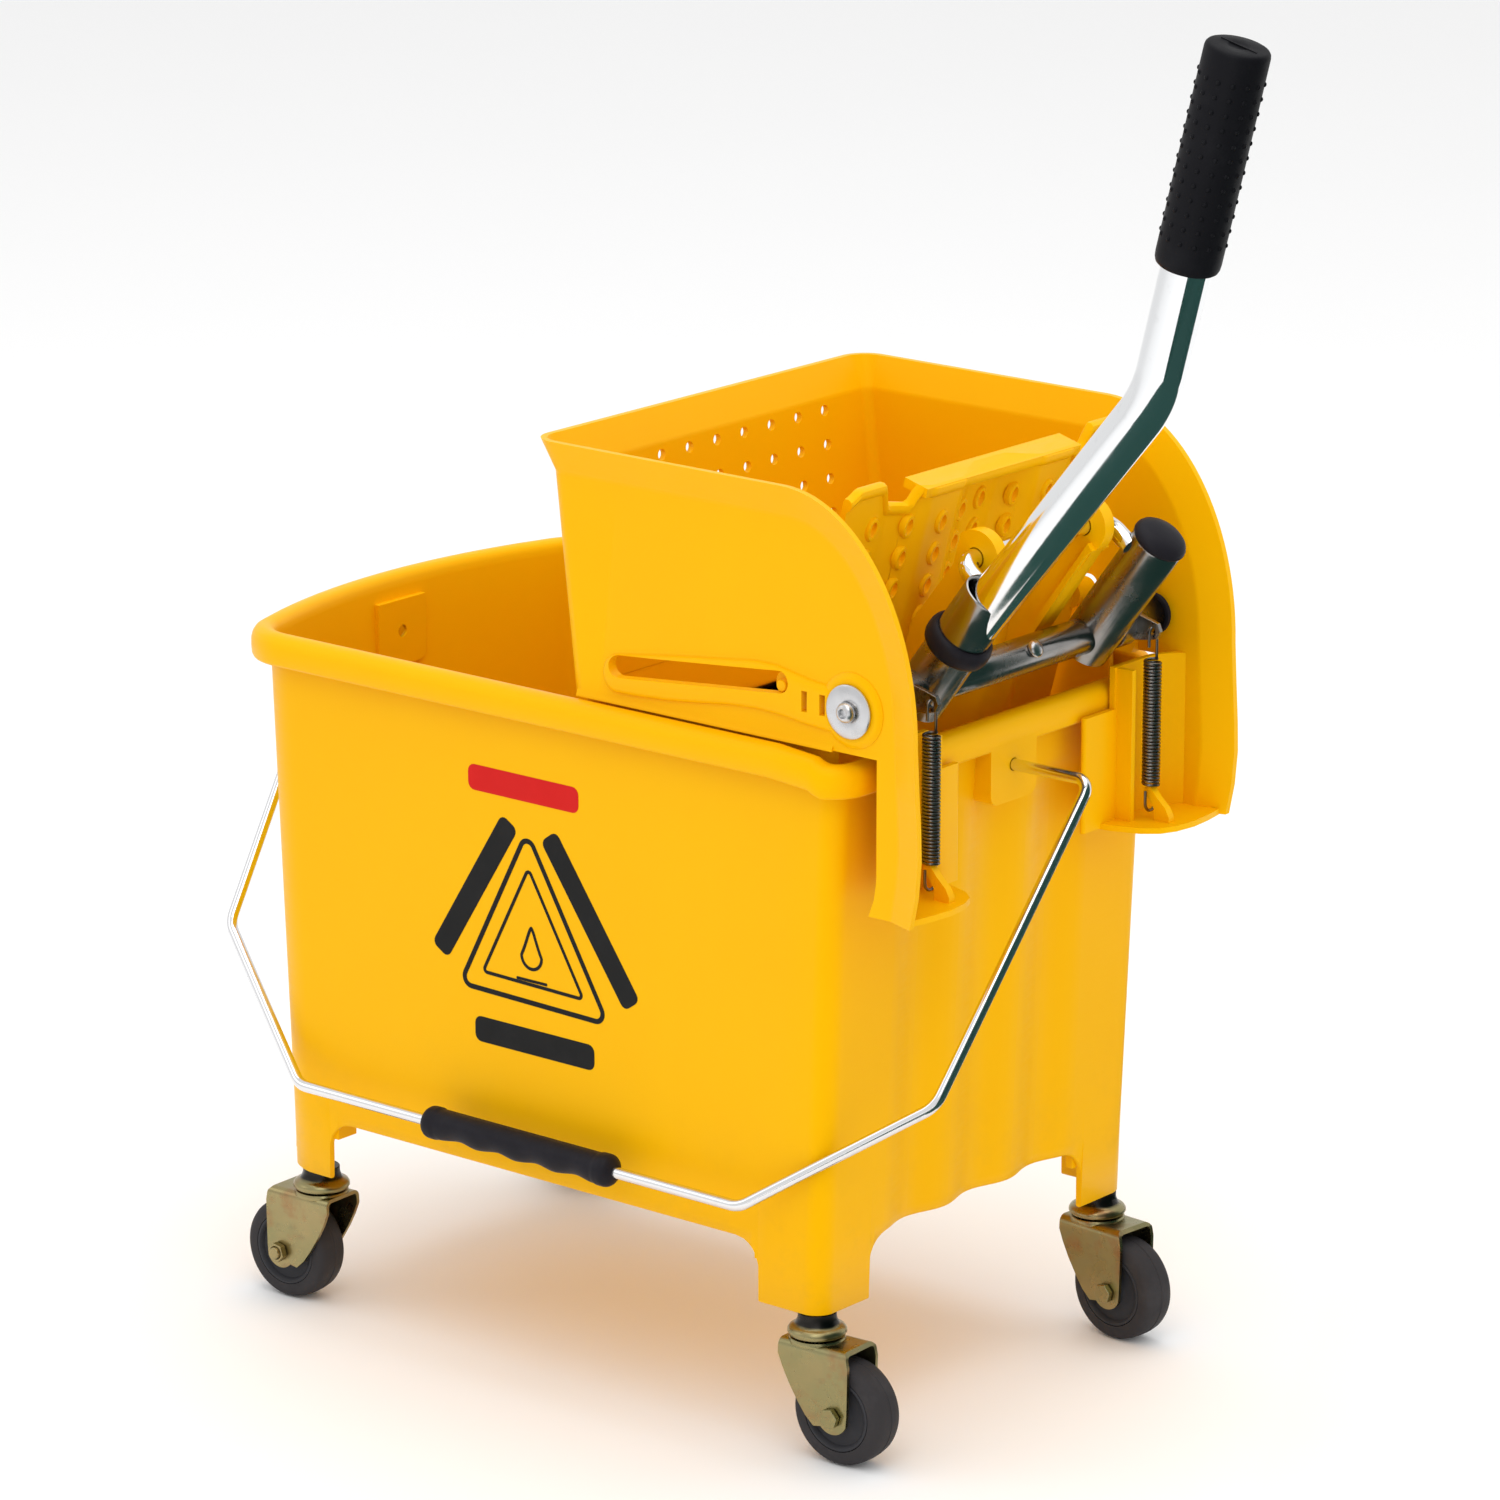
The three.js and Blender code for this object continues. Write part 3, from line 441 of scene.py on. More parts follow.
SIDE_X = arch_stations(CUT_X, 148)
END_Y = sorted({*arch_stations(CUT_Y, 100), *(i * 3.0 for i in range(-24, 25))})


def half_width(z):
    """From the middle to a side's outer face."""
    return 116.7 + 1.7 * ((z - LEG_Z) / 250)


def bucket_outline(offset, z, groove=0.0, end_drop=0.0):
    """A ring round the bucket, each point with how high its foot is.

    groove is the share of the grooves' full depth, and end_drop how far the rim dips at the wringer end.
    """
    t = (z - LEG_Z) / 250
    right, left, half = 170 + 10 * t + offset, 185 + 10 * t + offset, half_width(z) + offset
    rc, lc, bow = 10 + offset, 25 + offset, 310 + offset
    bow_x = bow - left
    turn = math.degrees(math.asin((half - lc) / (bow - lc)))
    corner_x = bow_x - math.cos(math.radians(turn)) * (bow - lc)
    ring = []

    def foot(place, cut):
        d = cut - abs(place)
        if d <= 0:
            return LEG_Z
        return SKIRT_Z - CUT_R + math.sqrt(max(CUT_R ** 2 - (CUT_R - d) ** 2, 0)) if d < CUT_R else SKIRT_Z

    def put(x, y, low=LEG_Z):
        ring.append((x, y, z - end_drop * smooth((x - 165) / 13), low))

    for y in END_Y:
        wave = 0.5 + 0.5 * math.cos(2 * math.pi * y / GROOVE_PITCH)
        put(right - groove * GROOVE_DEPTH * wave * (abs(y) < GROOVED_HALF), y, foot(y, CUT_Y))
    for x, y in arc(right - rc, half - rc, rc, 0, 90, 9):
        put(x, y)
    for x in reversed(SIDE_X):
        put(max(min(x, right - rc), corner_x), half, foot(x, CUT_X))
    for x, y in arc(corner_x, half - lc, lc, 90, 180 - turn, 10):
        put(x, y)
    for y in reversed(END_Y):
        if abs(y) < half - lc - 1:
            put(bow_x - math.sqrt(bow ** 2 - y ** 2), y, foot(y, CUT_Y))
    for x, y in arc(corner_x, lc - half, lc, 180 + turn, 270, 10):
        put(x, y)
    for x in SIDE_X:
        put(max(min(x, right - rc), corner_x), -half, foot(x, CUT_X))
    for x, y in arc(right - rc, rc - half, rc, 270, 360, 9):
        put(x, y)
    return ring


def bucket_mesh():
    wall = -3.0
    foot_rows = [(wall, 0.7), (wall + 0.7, 0.0), (-0.7, 0.0), (0.0, 0.7)]
    rings = [[(x * 0.4, y * 0.4, FLOOR_Z - 3) for x, y, z, f in bucket_outline(wall, 109, 0.0)],
             [(x, y, z) for x, y, z, f in bucket_outline(wall, FLOOR_Z - 3, 1.0)]]
    for offset, up in foot_rows:
        ring = bucket_outline(offset, 80, 1.0)
        rings.append([(x, y, f + up) for x, y, z, f in ring])
    for offset, z, groove in bucket_rows(wall):
        ring = bucket_outline(offset, z, groove, 5.0 * (z > 310))
        rings.append([(x, y, h) for x, y, h, f in ring])
    rings.append([(x * 0.4, y * 0.4, FLOOR_Z) for x, y, z, f in bucket_outline(-13, FLOOR_Z, 0.0)])
    return loft(rings)


def bucket_rows(wall):
    """(offset, height, groove share) up the outside, over the rolled rim and down the inside."""
    fade = [(288, 1), (291, 0.93), (294, 0.75), (297, 0.45), (300, 0.2), (303, 0)]
    outside = [(0, z, 1.0) for z in (105, 130, 160, 200, 240, 275)] + [(0, z, g) for z, g in fade]
    lip = [(0, 320, 0), (0.1, 329.5, 0), (0.8, 331.3, 0), (2.4, 332, 0), (4.6, 331.4, 0), (5.8, 329.6, 0),
           (6.2, 327, 0), (6.5, 325.2, 0), (7.4, 324.6, 0), (8.5, 324.9, 0), (9.1, 326.2, 0), (9.3, 330, 0),
           (9.1, 333.2, 0), (8.3, 335.8, 0), (6.8, 337.9, 0), (4.8, 339.1, 0), (2.4, 339.5, 0), (0, 339.1, 0),
           (-1.8, 337.8, 0), (-2.8, 335.6, 0), (wall, 332, 0), (wall, 315, 0)]
    inside = [(wall, z, g) for z, g in reversed(fade)]
    inside += [(wall, z, 1.0) for z in (275, 240, 200, 160, 130, 122)]
    cove = [(wall - 0.8, 118.5, 0.9), (wall - 2.6, 115, 0.6), (wall - 5.5, 112.9, 0.3),
            (wall - 9, 112.1, 0.0)]
    return outside + lip + inside + cove


def bail_pad(x0, x1):
    outline = [(-17, 327), (-17, 300), *arc(-12, 299, 5, 180, 270, 5), *arc(12, 299, 5, 270, 360, 5),
               (17, 327)]
    return prism(outline, "YZ", x0, x1)


def ordered(a, b):
    return min(a, b), max(a, b)


def leg_insides():
    """Stem bosses, their webs and the small tabs beside the arches."""
    parts = []
    for x, y, _ in STEMS.values():
        sx, sy = math.copysign(1, x), math.copysign(1, y)
        parts.append(block(ordered(sx * 130, sx * 133), ordered(sy * 102, sy * 114.8), (90, 110)))
        parts.append(block(ordered(sx * 164, sx * 168), ordered(sy * 77, sy * 80), (90, 110)))
        parts.append(ring_lathe([(4.3, 70), (6.2, 70), (6.5, 70.4), (6.5, 110), (4.3, 110)], (x, y, 0),
                                (0, 0, 1), 40))
        parts.append(block(ordered(x + sx * 6, sx * 167.5), (y - 1.2, y + 1.2), (76, 110)))
        parts.append(block((x - 1.2, x + 1.2), ordered(y + sy * 6, sy * 114.5), (76, 110)))
    return parts


def build_bucket():
    hole = tube([Vector((-214, 0, BAIL_Z)), Vector((214, 0, BAIL_Z))], 3.1, 24)
    shell = solid(bucket_mesh(), bail_pad(177.4, 189), bail_pad(-199, -189), cuts=[hole])
    piece("bucket_body", *shell, YELLOW, "bucket", "yellow_plastic", ["bucket"], sharp=50)
    legs = piece("bucket_leg_insides", *gather(*leg_insides()), YELLOW, "bucket", "yellow_plastic")
    soften(legs, 0.4)


# ---- printed mark -------------------------------------------------------------------------------
def wall_point(s, h, proud):
    """A point on the -Y wall, s along X and h up, standing proud by a distance."""
    return Vector((s, -(half_width(h) + proud), h))


def decal(name, outlines, material):
    """Thin closed shapes on the wall; each outline is a ring of (s, h), or a pair of rings for a band."""
    parts = []
    for outline in outlines:
        if isinstance(outline, tuple):
            outer, inner = outline
            n = len(outer)
            points = [wall_point(*p, proud) for proud in (-0.1, 0.16) for p in (*outer, *inner)]
            faces = []
            for i in range(n):
                j = (i + 1) % n
                faces += [(i, j, n + j, n + i), (2 * n + i, 3 * n + i, 3 * n + j, 2 * n + j),
                          (i, 2 * n + i, 2 * n + j, j), (n + i, n + j, 3 * n + j, 3 * n + i)]
            parts.append((points, faces))
        else:
            parts.append(loft([[wall_point(*p, proud) for p in outline] for proud in (-0.1, 0.16)]))
    return piece(name, *gather(*parts), material, "bucket", "yellow_plastic")


def rounded_ring(corners, radius, steps=8):
    """A closed outline with rounded corners."""
    p = [Vector((*c, 0)) for c in corners]
    out = []
    for i, q in enumerate(p):
        a, b = (p[i - 1] - q).normalized(), (p[(i + 1) % len(p)] - q).normalized()
        half = a.angle(b) / 2
        centre = q + (a + b).normalized() * (radius / math.sin(half))
        start, end = q + a * (radius / math.tan(half)) - centre, q + b * (radius / math.tan(half)) - centre
        out += [tuple((centre + start.slerp(end, k / steps) * radius)[:2]) for k in range(steps + 1)]
    return out


def inset_ring(ring, width):
    """The outline moved inwards by a width."""
    c = Vector((sum(p[0] for p in ring) / len(ring), sum(p[1] for p in ring) / len(ring)))
    out = []
    n = len(ring)
    for i, p in enumerate(ring):
        a, b = Vector(ring[i - 1]), Vector(ring[(i + 1) % n])
        d = b - a
        normal = Vector((-d.y, d.x)).normalized()
        if normal.dot(c - Vector(p)) < 0:
            normal = -normal
        out.append(tuple(Vector(p) + normal * width))
    return out


def bar_outline(centre, length, height, angle):
    c, s = math.cos(angle), math.sin(angle)
    ring = rounded_ring([(-length / 2, -height / 2), (length / 2, -height / 2),
                         (length / 2, height / 2), (-length / 2, height / 2)], height * 0.3, 4)
    return [(centre[0] + x * c - y * s, centre[1] + x * s + y * c) for x, y in ring]


def drop_outline(cx, cz, r):
    ring = []
    for t in turns(36):
        lift = max(math.sin(t), 0) ** 3 * r * 1.1
        ring.append((cx + r * math.cos(t) * (1 - 0.35 * max(math.sin(t), 0)), cz + r * math.sin(t) + lift))
    return ring


def build_mark(apex, left, right):
    """Nested triangles round a drop, with plain bars above, below and beside them."""
    outer = rounded_ring([apex, left, right], 5.5)
    mid = Vector(((apex[0] + left[0] + right[0]) / 3, (apex[1] + left[1] + right[1]) / 3))
    small = [tuple(mid + (Vector(p) - mid) * 0.68) for p in (apex, left, right)]
    inner = rounded_ring(small, 2.5)
    drop = drop_outline(mid.x, mid.y - 5, 7)
    decal("mark_black", [
        (outer, inset_ring(outer, 2.5)), (inner, inset_ring(inner, 1.7)), (drop, inset_ring(drop, 1.6)),
        bar_outline((-37, 236.5), 84, 11.5, math.radians(57.6)),
        bar_outline((34.3, 233.5), 88, 11.5, math.radians(-55.3)),
        bar_outline((-1, 167), 74, 12.5, 0), bar_outline((mid.x, mid.y - 17), 19, 1.4, 0)], INK)
    decal("mark_red", [bar_outline((-6, 290), 68, 12.5, 0)], RED)


# ---- wringer housing ----------------------------------------------------------------------------
TOP_Z, RIB_Z, INNER, THICK, LOW_INNER, BASIN_Z = 458.0, 340.0, 112.5, 3.0, 106.0, 285.0
EAR_Z, BACK_X = 267.0, 165.0
SLOT_MID, SLOT_RISE, SLOT_HALF = Vector((100, 0, 362.5)), math.radians(5.45), 5.2
RIM_DEPTH, RIM_OUT = 15.0, 5.5
HOLE_R, HOLE_COLUMN, HOLE_ROW, HOLE_TOP = 2.7, 20.0, 16.4, 437.0


def front_x(z):
    return 8 + (451 - z) * 0.115


def flare(d):
    """How far the rim leans out at a distance below its edge."""
    return RIM_OUT * max(1 - d / RIM_DEPTH, 0)


def side_stations():
    """(edge, inward direction, foot) in (x, z), from the ear's bottom over the wing to the front."""
    edge = [(224, EAR_Z), (227, 282), (228.4, 298), (228, 312), (226.8, 331)]
    edge += [(150 + 75.8 * c, 350 + 108 * s) for c, s in arc(0, 0, 1, 0, 90, 28)]
    edge += [(115, TOP_Z), (80, TOP_Z), (50, TOP_Z), (20, TOP_Z)]
    feet = [(196.5, EAR_Z), (199.5, 275), (201, 285), (201, 298), (201, 315), (201, 325), (201, 333),
            (201, RIB_Z)]
    run = len(edge) - len(feet)
    feet += [(201 - 169 * (k + 1) / run, RIB_Z) for k in range(run)]
    stations = []
    for i, p in enumerate(edge):
        a, b = Vector(edge[max(i - 1, 0)]), Vector(edge[min(i + 1, len(edge) - 1)])
        d = (b - a).normalized()
        inward = Vector((-d.y, d.x)) if i else Vector((-1, 0))
        stations.append((Vector(p), inward, Vector(feet[i])))
    return stations


def wall_section(at):
    """A closed loop through the wall's thickness; at(d, out) gives a point at a depth below the edge."""
    depths = [0, 4, 8, 12, 14, 15, 16.5, None]
    return [at(d, 0) for d in reversed(depths)] + [at(d, THICK) for d in depths]


def wall_shell():
    """The two sides and the front as one skin, with the leaning rim and rounded corners."""
    sections = []
    for p, inward, foot in side_stations():
        def at(d, out, p=p, inward=inward, foot=foot):
            q = foot if d is None else p + inward * d
            return Vector((q.x, -(INNER + out + (0 if d is None else flare(d))), q.y))
        sections.append(wall_section(at))
    r = 8.0
    for turn in range(0, 91, 10):
        def at(d, out, t=math.radians(turn)):
            lean, z = (0, RIB_Z) if d is None else (flare(d), TOP_Z - d)
            reach = r - THICK + out + lean
            y = -(INNER + THICK - r + reach * math.cos(t))
            return Vector((front_x(z) + r - reach * math.sin(t), y, z))
        sections.append(wall_section(at))
    far = [[Vector((p.x, -p.y, p.z)) for p in section] for section in reversed(sections)]
    return loft(sections + far)


def rounded_box(x0, x1, y, r):
    return [*arc(x1 - r, y - r, r, 0, 90, 5), *arc(x0 + r, y - r, r, 90, 180, 5),
            *arc(x0 + r, r - y, r, 180, 270, 5), *arc(x1 - r, r - y, r, 270, 360, 5)]


def low_box():
    """The part that hangs in the bucket: four walls and a floor with drain slots."""
    def at(z, inset, x_back):
        ring = rounded_box(front_x(z) + inset, x_back - inset, LOW_INNER + THICK - inset, 7 - inset)
        return [Vector((x, y, z)) for x, y in ring]

    back = BACK_X + 3
    outside = loft([at(z, 0.4, back) for z in (BASIN_Z, RIB_Z + 2)])
    inside = loft([at(z, THICK, back) for z in (BASIN_Z + 3, RIB_Z + 6)])
    low_back = block((BACK_X - 1, BACK_X + 9), (-LOW_INNER + 5, LOW_INNER - 5), (322, RIB_Z + 6))
    slots = [prism([(x, y) for x, y in bar_outline((48 + row * 22, side * 51), 8, 82, 0)], "XY", 280, 292)
             for row in range(6) for side in (-1, 1)]
    return solid(outside, cuts=[inside, low_back, gather(*slots)])


def seat_rib():
    """The rib that rests on the bucket's rim, blended into the wall above it."""
    z = RIB_Z - 0.4
    return prism([(LOW_INNER + 1, z), (INNER + THICK + 1.3, z), (INNER + THICK + 1, z + 1.6),
                  (INNER + 1.5, z + 5), (LOW_INNER + 4, z + 4)], "YZ", front_x(RIB_Z) + 5, 176)


def stadium(x0, x1, z, r):
    return [*arc(x1 - r, z, r, -90, 90, 10), *arc(x0 + r, z, r, 90, 270, 10)]


def slot_surround():
    """The rounded swelling round the slot and the slits, which runs on into the pivot boss."""
    ring = [*arc(51, 354, 9.4, 95, 262, 9), (62, 345), (80, 346.2), (98, 348.2), (116, 350.6), (133, 351.6),
            (147, 351), (160, 349.4), (172, 348.6), (182, 348.6), (184, 356), (182, 366), (174, 369.5),
            (163, 370.6), (152, 372.6), (143, 374.2), (130, 374), (112, 371.6), (90, 369), (68, 366)]
    layers = ((1, 0), (THICK - 0.3, 0), (THICK + 1.2, 0.5), (THICK + 2, 1.4), (THICK + 2.3, 2.8))
    return loft([[Vector((x, INNER + up, z)) for x, z in inset_ring(ring, inset)] for up, inset in layers])


def slot_cuts():
    slot = prism(stadium(46, 152, SLOT_MID.z, SLOT_HALF), "XZ", INNER - 3, INNER + 14)
    slits = [block(x, (INNER - 3, INNER + 14), (355.7, 365.3)) for x in ((159.5, 162.7), (169.8, 173.0))]
    return [turned(slot, -SLOT_RISE, "Y", SLOT_MID), *slits]


def pocket():
    """Spring channel behind the bucket's end: curved back, shelf, side rib and hook."""
    back = [(192.5, 70), (192.5, 96), (193.2, 101), (195.2, 106), (198.6, 110.5), (203, 114)]
    inner, outer = ([tuple(Vector(p) + normal_at(back, i) * half) for i, p in enumerate(back)]
                    for half in (THICK / 2, -THICK / 2))
    channel = prism([*inner, *reversed(outer)], "XY", EAR_Z + 0.5, RIB_Z + 3)
    apron = prism([(191.2, 78), (191.2, 49), *arc(192.7, 48.6, 1.5, 180, 360, 6), (194.2, 78)], "XY",
                  EAR_Z + 0.8, 323)
    shelf = prism([(191.3, 60), (199, 61), (213, 66), (220, 72), (223.5, 80), (225, 92), (224, 104),
                   (222, 115.4), (201, 115.4), (191.3, 101)], "XY", EAR_Z + 0.2, EAR_Z + 3)
    rib = block((191.6, 203), (71.4, 74.2), (EAR_Z + 1, RIB_Z + 2.5))
    hook = prism([(209.5, 268), (218, 268), (218.2, 272.5), (216, 276.5), (211, 281), (207, 285.8),
                  (203.4, 284.6), (203.6, 282.4), (207.2, 279), (209.6, 275)], "XZ", 81, 85)
    return [channel, apron, shelf, rib, hook]


def normal_at(line, i):
    a, b = Vector(line[max(i - 1, 0)]), Vector(line[min(i + 1, len(line) - 1)])
    d = (b - a).normalized()
    return Vector((d.y, -d.x))


def build_wringer():
    """One moulding: front, sides, low box, seat ribs, bosses and pockets joined, then cut."""
    half = []
    for part in (slot_surround(), seat_rib(), *pocket()):
        half += [part, flip_y(part)]
    cuts = []
    boss = [(0, -2), (17.4, -2), (17.4, 0.3), (16.4, 1.2), (15, 1.9), (14.2, 2), (0, 2)]
    bore = [(0, -9), (4.3, -9), (4.3, 9), (0, 9)]
    for sign in (1, -1):
        half.append(lathe(boss, (PIVOT.x, sign * (INNER + THICK), PIVOT.z), (0, sign, 0), 56))
        cuts.append(lathe(bore, (PIVOT.x, sign * INNER, PIVOT.z), (0, sign, 0), 24))
    for part in slot_cuts():
        cuts += [part, flip_y(part)]
    hole = [(0, 0), (HOLE_R, 0), (HOLE_R, 60), (0, 60)]
    cuts.append(gather(*(lathe(hole, (-10, column * HOLE_COLUMN, HOLE_TOP - row * HOLE_ROW), (1, 0, 0), 18)
                         for row in range(6) for column in range(-4, 5))))
    housing = solid(wall_shell(), low_box(), *half, cuts=cuts)
    soften(stand_in("wringer_housing", housing, YELLOW, "wringer", "yellow_plastic"), 0.7, 3)


# ---- pivots -------------------------------------------------------------------------------------
def build_pivots():
    face = INNER + THICK + 2.3
    for side, sign in SIDES:
        centre, axis = (PIVOT.x, 0, PIVOT.z), (0, sign, 0)
        washer = ring_lathe([(4.3, face), (11.9, face), (12.5, face + 0.5), (12.4, face + 1.1),
                             (11.7, face + 1.6), (5, face + 1.6), (4.3, face + 1.2)], centre, axis, 72)
        stand_in(f"pivot_washer_{side}", washer, STEEL, "wringer", "steel")
        head = face + 1.9
        dome = [(0, 98), (3.9, 98), (3.9, head), (4.7, head), (4.9, head + 0.5), (4.7, head + 1.3),
                (4.2, head + 2.3), (3.4, head + 3.1), (2.7, head + 3.3), (2.3, head + 3.1),
                (2.2, head + 1.3), (0, head + 1.1)]
        stand_in(f"pivot_bolt_{side}", lathe(dome, centre, axis, 42), STEEL, "wringer", "steel")



# ---- lever frame --------------------------------------------------------------------------------
def along(s, y, offset=0.0):
    return Vector((PIVOT.x + s * math.sin(TILT) - offset * math.cos(TILT), y,
                   PIVOT.z + s * math.cos(TILT) + offset * math.sin(TILT)))


AXIS = along(1, 0) - along(0, 0)
SPRING_X, SPRING_Y = 206.0, 83.0


def socket_look(sign):
    """A tube for a lever, open at the top and saddled on the cross tube."""
    profile = [(0, -10), (12.7, -10), (12.7, 59.4), (12.4, 60.3), (11.8, 60.6), (11.3, 60.1), (11.3, 13),
               (0, 13)]
    body = lathe(profile, along(0, sign * SOCKET_Y), AXIS, 56)
    saddle = tube([Vector((PIVOT.x, sign * 40, PIVOT.z)), Vector((PIVOT.x, sign * 85, PIVOT.z))], 8.6, 40)
    return solid(body, cuts=[saddle])


def tab_look(sign):
    """A strap wrapped round the cross tube that ends in a drilled tab for the spring."""
    x, z, y = PIVOT.x, PIVOT.z, sign * SPRING_Y
    strap = ring_lathe([(8.8, -5), (10.4, -5), (10.4, 5), (8.8, 5)], (x, y - sign * 4, z), (0, 1, 0), 40)
    ear = prism([(x + 9, z - 6), (x + 17, z - 5), (x + 22, z - 3.6), (x + 23.6, z), (x + 22, z + 3.6),
                 (x + 17, z + 5), (x + 9, z + 7)], "XZ", y - 1.3, y + 1.3)
    hole = tube([Vector((SPRING_X, y - 6, z)), Vector((SPRING_X, y + 6, z))], 1.9, 16)
    bore = tube([Vector((x, y - 9, z)), Vector((x, y + 9, z))], 8.8, 40)
    return gather(strap, solid(ear, cuts=[hole, bore]))


def rod_path():
    c, s = math.cos(TILT), math.sin(TILT)
    ends = [Vector((ROD.x + 18 * c, sign * 54, ROD.z - 18 * s)) for sign in (-1, 1)]
    return rounded_path([ends[0], (ROD.x, -54, ROD.z), (ROD.x, 54, ROD.z), ends[1]], [9, 9], 10)


def build_lever_frame():
    body = "lever_frame"
    x, z = PIVOT.x, PIVOT.z
    pipe = ring_lathe([(7, -107), (8.2, -107), (8.5, -106.6), (8.5, 106.6), (8.2, 107), (7, 107)], (x, 0, z),
                      (0, 1, 0), 56)
    stand_in("cross_tube", pipe, TUBE, body, "chrome")
    for side, sign in SIDES:
        bush = ring_lathe([(4.3, 95), (6.7, 95), (6.7, 107.3), (9.7, 107.3), (10, 107.8), (10, 109.2),
                           (9.6, 109.6), (4.3, 109.6)], (x, 0, z), (0, sign, 0), 40)
        stand_in(f"bush_{side}", bush, BLACK, body, "black_plastic")
        stand_in(f"socket_{side}", socket_look(sign), TUBE, body, "chrome")
        soften(stand_in(f"spring_tab_{side}", tab_look(sign), TUBE, body, "steel"), 0.3)
    screw_axis = Vector((2.5, 0, 1.45)).normalized()
    screw = lathe([(0, -3), (1.8, -3), (1.8, 0.4), (4.1, 0.4), (4.2, 1.1), (3.6, 2.3), (2.2, 3.1), (0, 3.3)],
                  Vector((x, 7.5, z)) + screw_axis * 8.4, screw_axis, 28)
    stand_in("cross_tube_screw", screw, STEEL, body, "steel")
    stand_in("press_rod", tube(rod_path(), 4.5, 28), CHROME, body, "chrome")
    band = [(12.9, 25), (14, 25), (15.2, 26.2), (15.8, 28), (15.9, 30), (15.8, 32), (15.2, 34), (14, 35),
            (12.9, 35)]
    ring = ring_lathe(band, along(0, -SOCKET_Y), AXIS, 56)
    stand_in("socket_ring", ring, BLACK, body, "black_plastic")
    cap = [(0, 40), (11, 40), (11, 60.9), (13, 60.9), (13.3, 61.6), (13.1, 62.8), (12.3, 64.2), (10.4, 65.6),
           (7.6, 66.5), (4, 67), (0, 67.1)]
    stand_in("socket_cap", lathe(cap, along(0, SOCKET_Y), AXIS, 56), BLACK, body, "black_plastic")


# ---- presser plate ------------------------------------------------------------------------------
PLATE_DOWN, PLATE_UP, PLATE_HALF, RIDGE = -62.0, 96.0, 100.5, 9.0
SLIT_R, SLIT_COLUMN, SLIT_ROW, SLIT_TOP = 2.3, 19.6, 16.0, 74.0


def plate_wave(y):
    """How far the sheet stands out at a distance from its middle."""
    a = abs(y)
    rise = min(max((a - 10) / 20, 0), 1) - min(max((a - 50) / 20, 0), 1)
    return RIDGE * (0.5 * rise + 0.5 * smooth(rise))


def plate_top(y):
    """Height of the upper edge: a level middle, a notch each side, and humped shoulders."""
    a = abs(y)
    notch = 9 * smooth((a - 57) / 4)
    return PLATE_UP - 2 - notch + 11.5 * smooth((a - 71) / 6) - 4 * smooth((a - 93) / 8)


def plate_sheet():
    """The corrugated sheet, with its upper edge thickened to a rail."""
    rings, steps = [], 134
    for i in range(steps + 1):
        y = -PLATE_HALF + 2 * PLATE_HALF * i / steps
        x, top = plate_wave(y), plate_top(y)
        section = [(x - 1.5, PLATE_DOWN), (x + 1.5, PLATE_DOWN), (x + 1.5, top - 6), (x + 3, top - 4.6),
                   (x + 3.6, top - 2.4), (x + 3, top - 0.6), (x + 1, top + 0.2), (x - 1, top - 0.2),
                   (x - 1.5, top - 1.5)]
        rings.append([Vector((sx, y, sz)) for sx, sz in section])
    return loft(rings)


def upright_oval(y, z, r):
    return [(y + r * math.cos(t), z + (r + 1.6 * abs(math.sin(t))) * math.sin(t)) for t in turns(18)]


def plate_holes():
    """Upright slots with a raised border: (borders, slots)."""
    borders, slots = [], []
    for column in range(-4, 5):
        for row in range(4):
            y, z = column * SLIT_COLUMN, SLIT_TOP - row * SLIT_ROW
            x = plate_wave(y)
            layers = [[Vector((x + up, a, b)) for a, b in upright_oval(y, z, r)]
                      for up, r in ((0, 4.6), (2.2, 4.3), (2.9, 3.6))]
            borders.append(loft(layers))
            slots.append(prism(upright_oval(y, z, SLIT_R), "YZ", x - 8, x + 8))
    return borders, slots


def plate_arm(sign):
    """An arm from the sheet to the eye round the press rod, drawn with the plate upright."""
    c, s = math.cos(PLATE_TILT), math.sin(PLATE_TILT)
    dx, dz = ROD.x - PLATE_PIN.x, ROD.z - PLATE_PIN.z
    ex, ez = dx * c - dz * s, dx * s + dz * c
    web = prism([(RIDGE, -22), (RIDGE + 6, -18), (ex + 8.5, ez - 10), *arc(ex, ez, 13, -45, 145, 20),
                 (ex - 10.5, ez - 7.5), (RIDGE, 20)], "XZ", 36.5, 43.5)
    lower = [(RIDGE, -26), (RIDGE + 7, -21), (ex + 7.2, ez - 12), (ex + 10.5, ez - 8), (ex + 7, ez - 5.6),
             (RIDGE + 5, -14.5), (RIDGE, -19)]
    flange = prism(lower, "XZ", 33.5, 46.5)
    bore = lathe([(0, 20), (4.9, 20), (4.9, 60), (0, 60)], (ex, 0, ez), (0, 1, 0), 32)
    arm = solid(web, flange, cuts=[bore])
    return arm if sign > 0 else flip_y(arm)


def build_presser():
    borders, slots = plate_holes()
    rail = block((-2, RIDGE + 2.4), (-57, 57), (PLATE_UP - 6.6, PLATE_UP - 2))
    sheet = solid(plate_sheet(), rail, *borders, cuts=[gather(*slots)])
    tilted = turned(gather(sheet, plate_arm(1), plate_arm(-1)), PLATE_TILT, "Y", (0, 0, 0))
    pin = [(0, 98), (6.5, 98), (6.5, 110.8), (6.1, 111.3), (2.8, 111.3), (2.8, 115.1), (2.4, 115.6),
           (0, 115.6)]
    pins = [lathe(pin, PLATE_PIN + Vector((0, 0, 2.5)), (0, sign, 0), 32) for sign in (1, -1)]
    soften(stand_in("presser_plate", gather(shifted(tilted, PLATE_PIN), *pins), YELLOW, "presser",
                    "yellow_plastic"), 0.7)


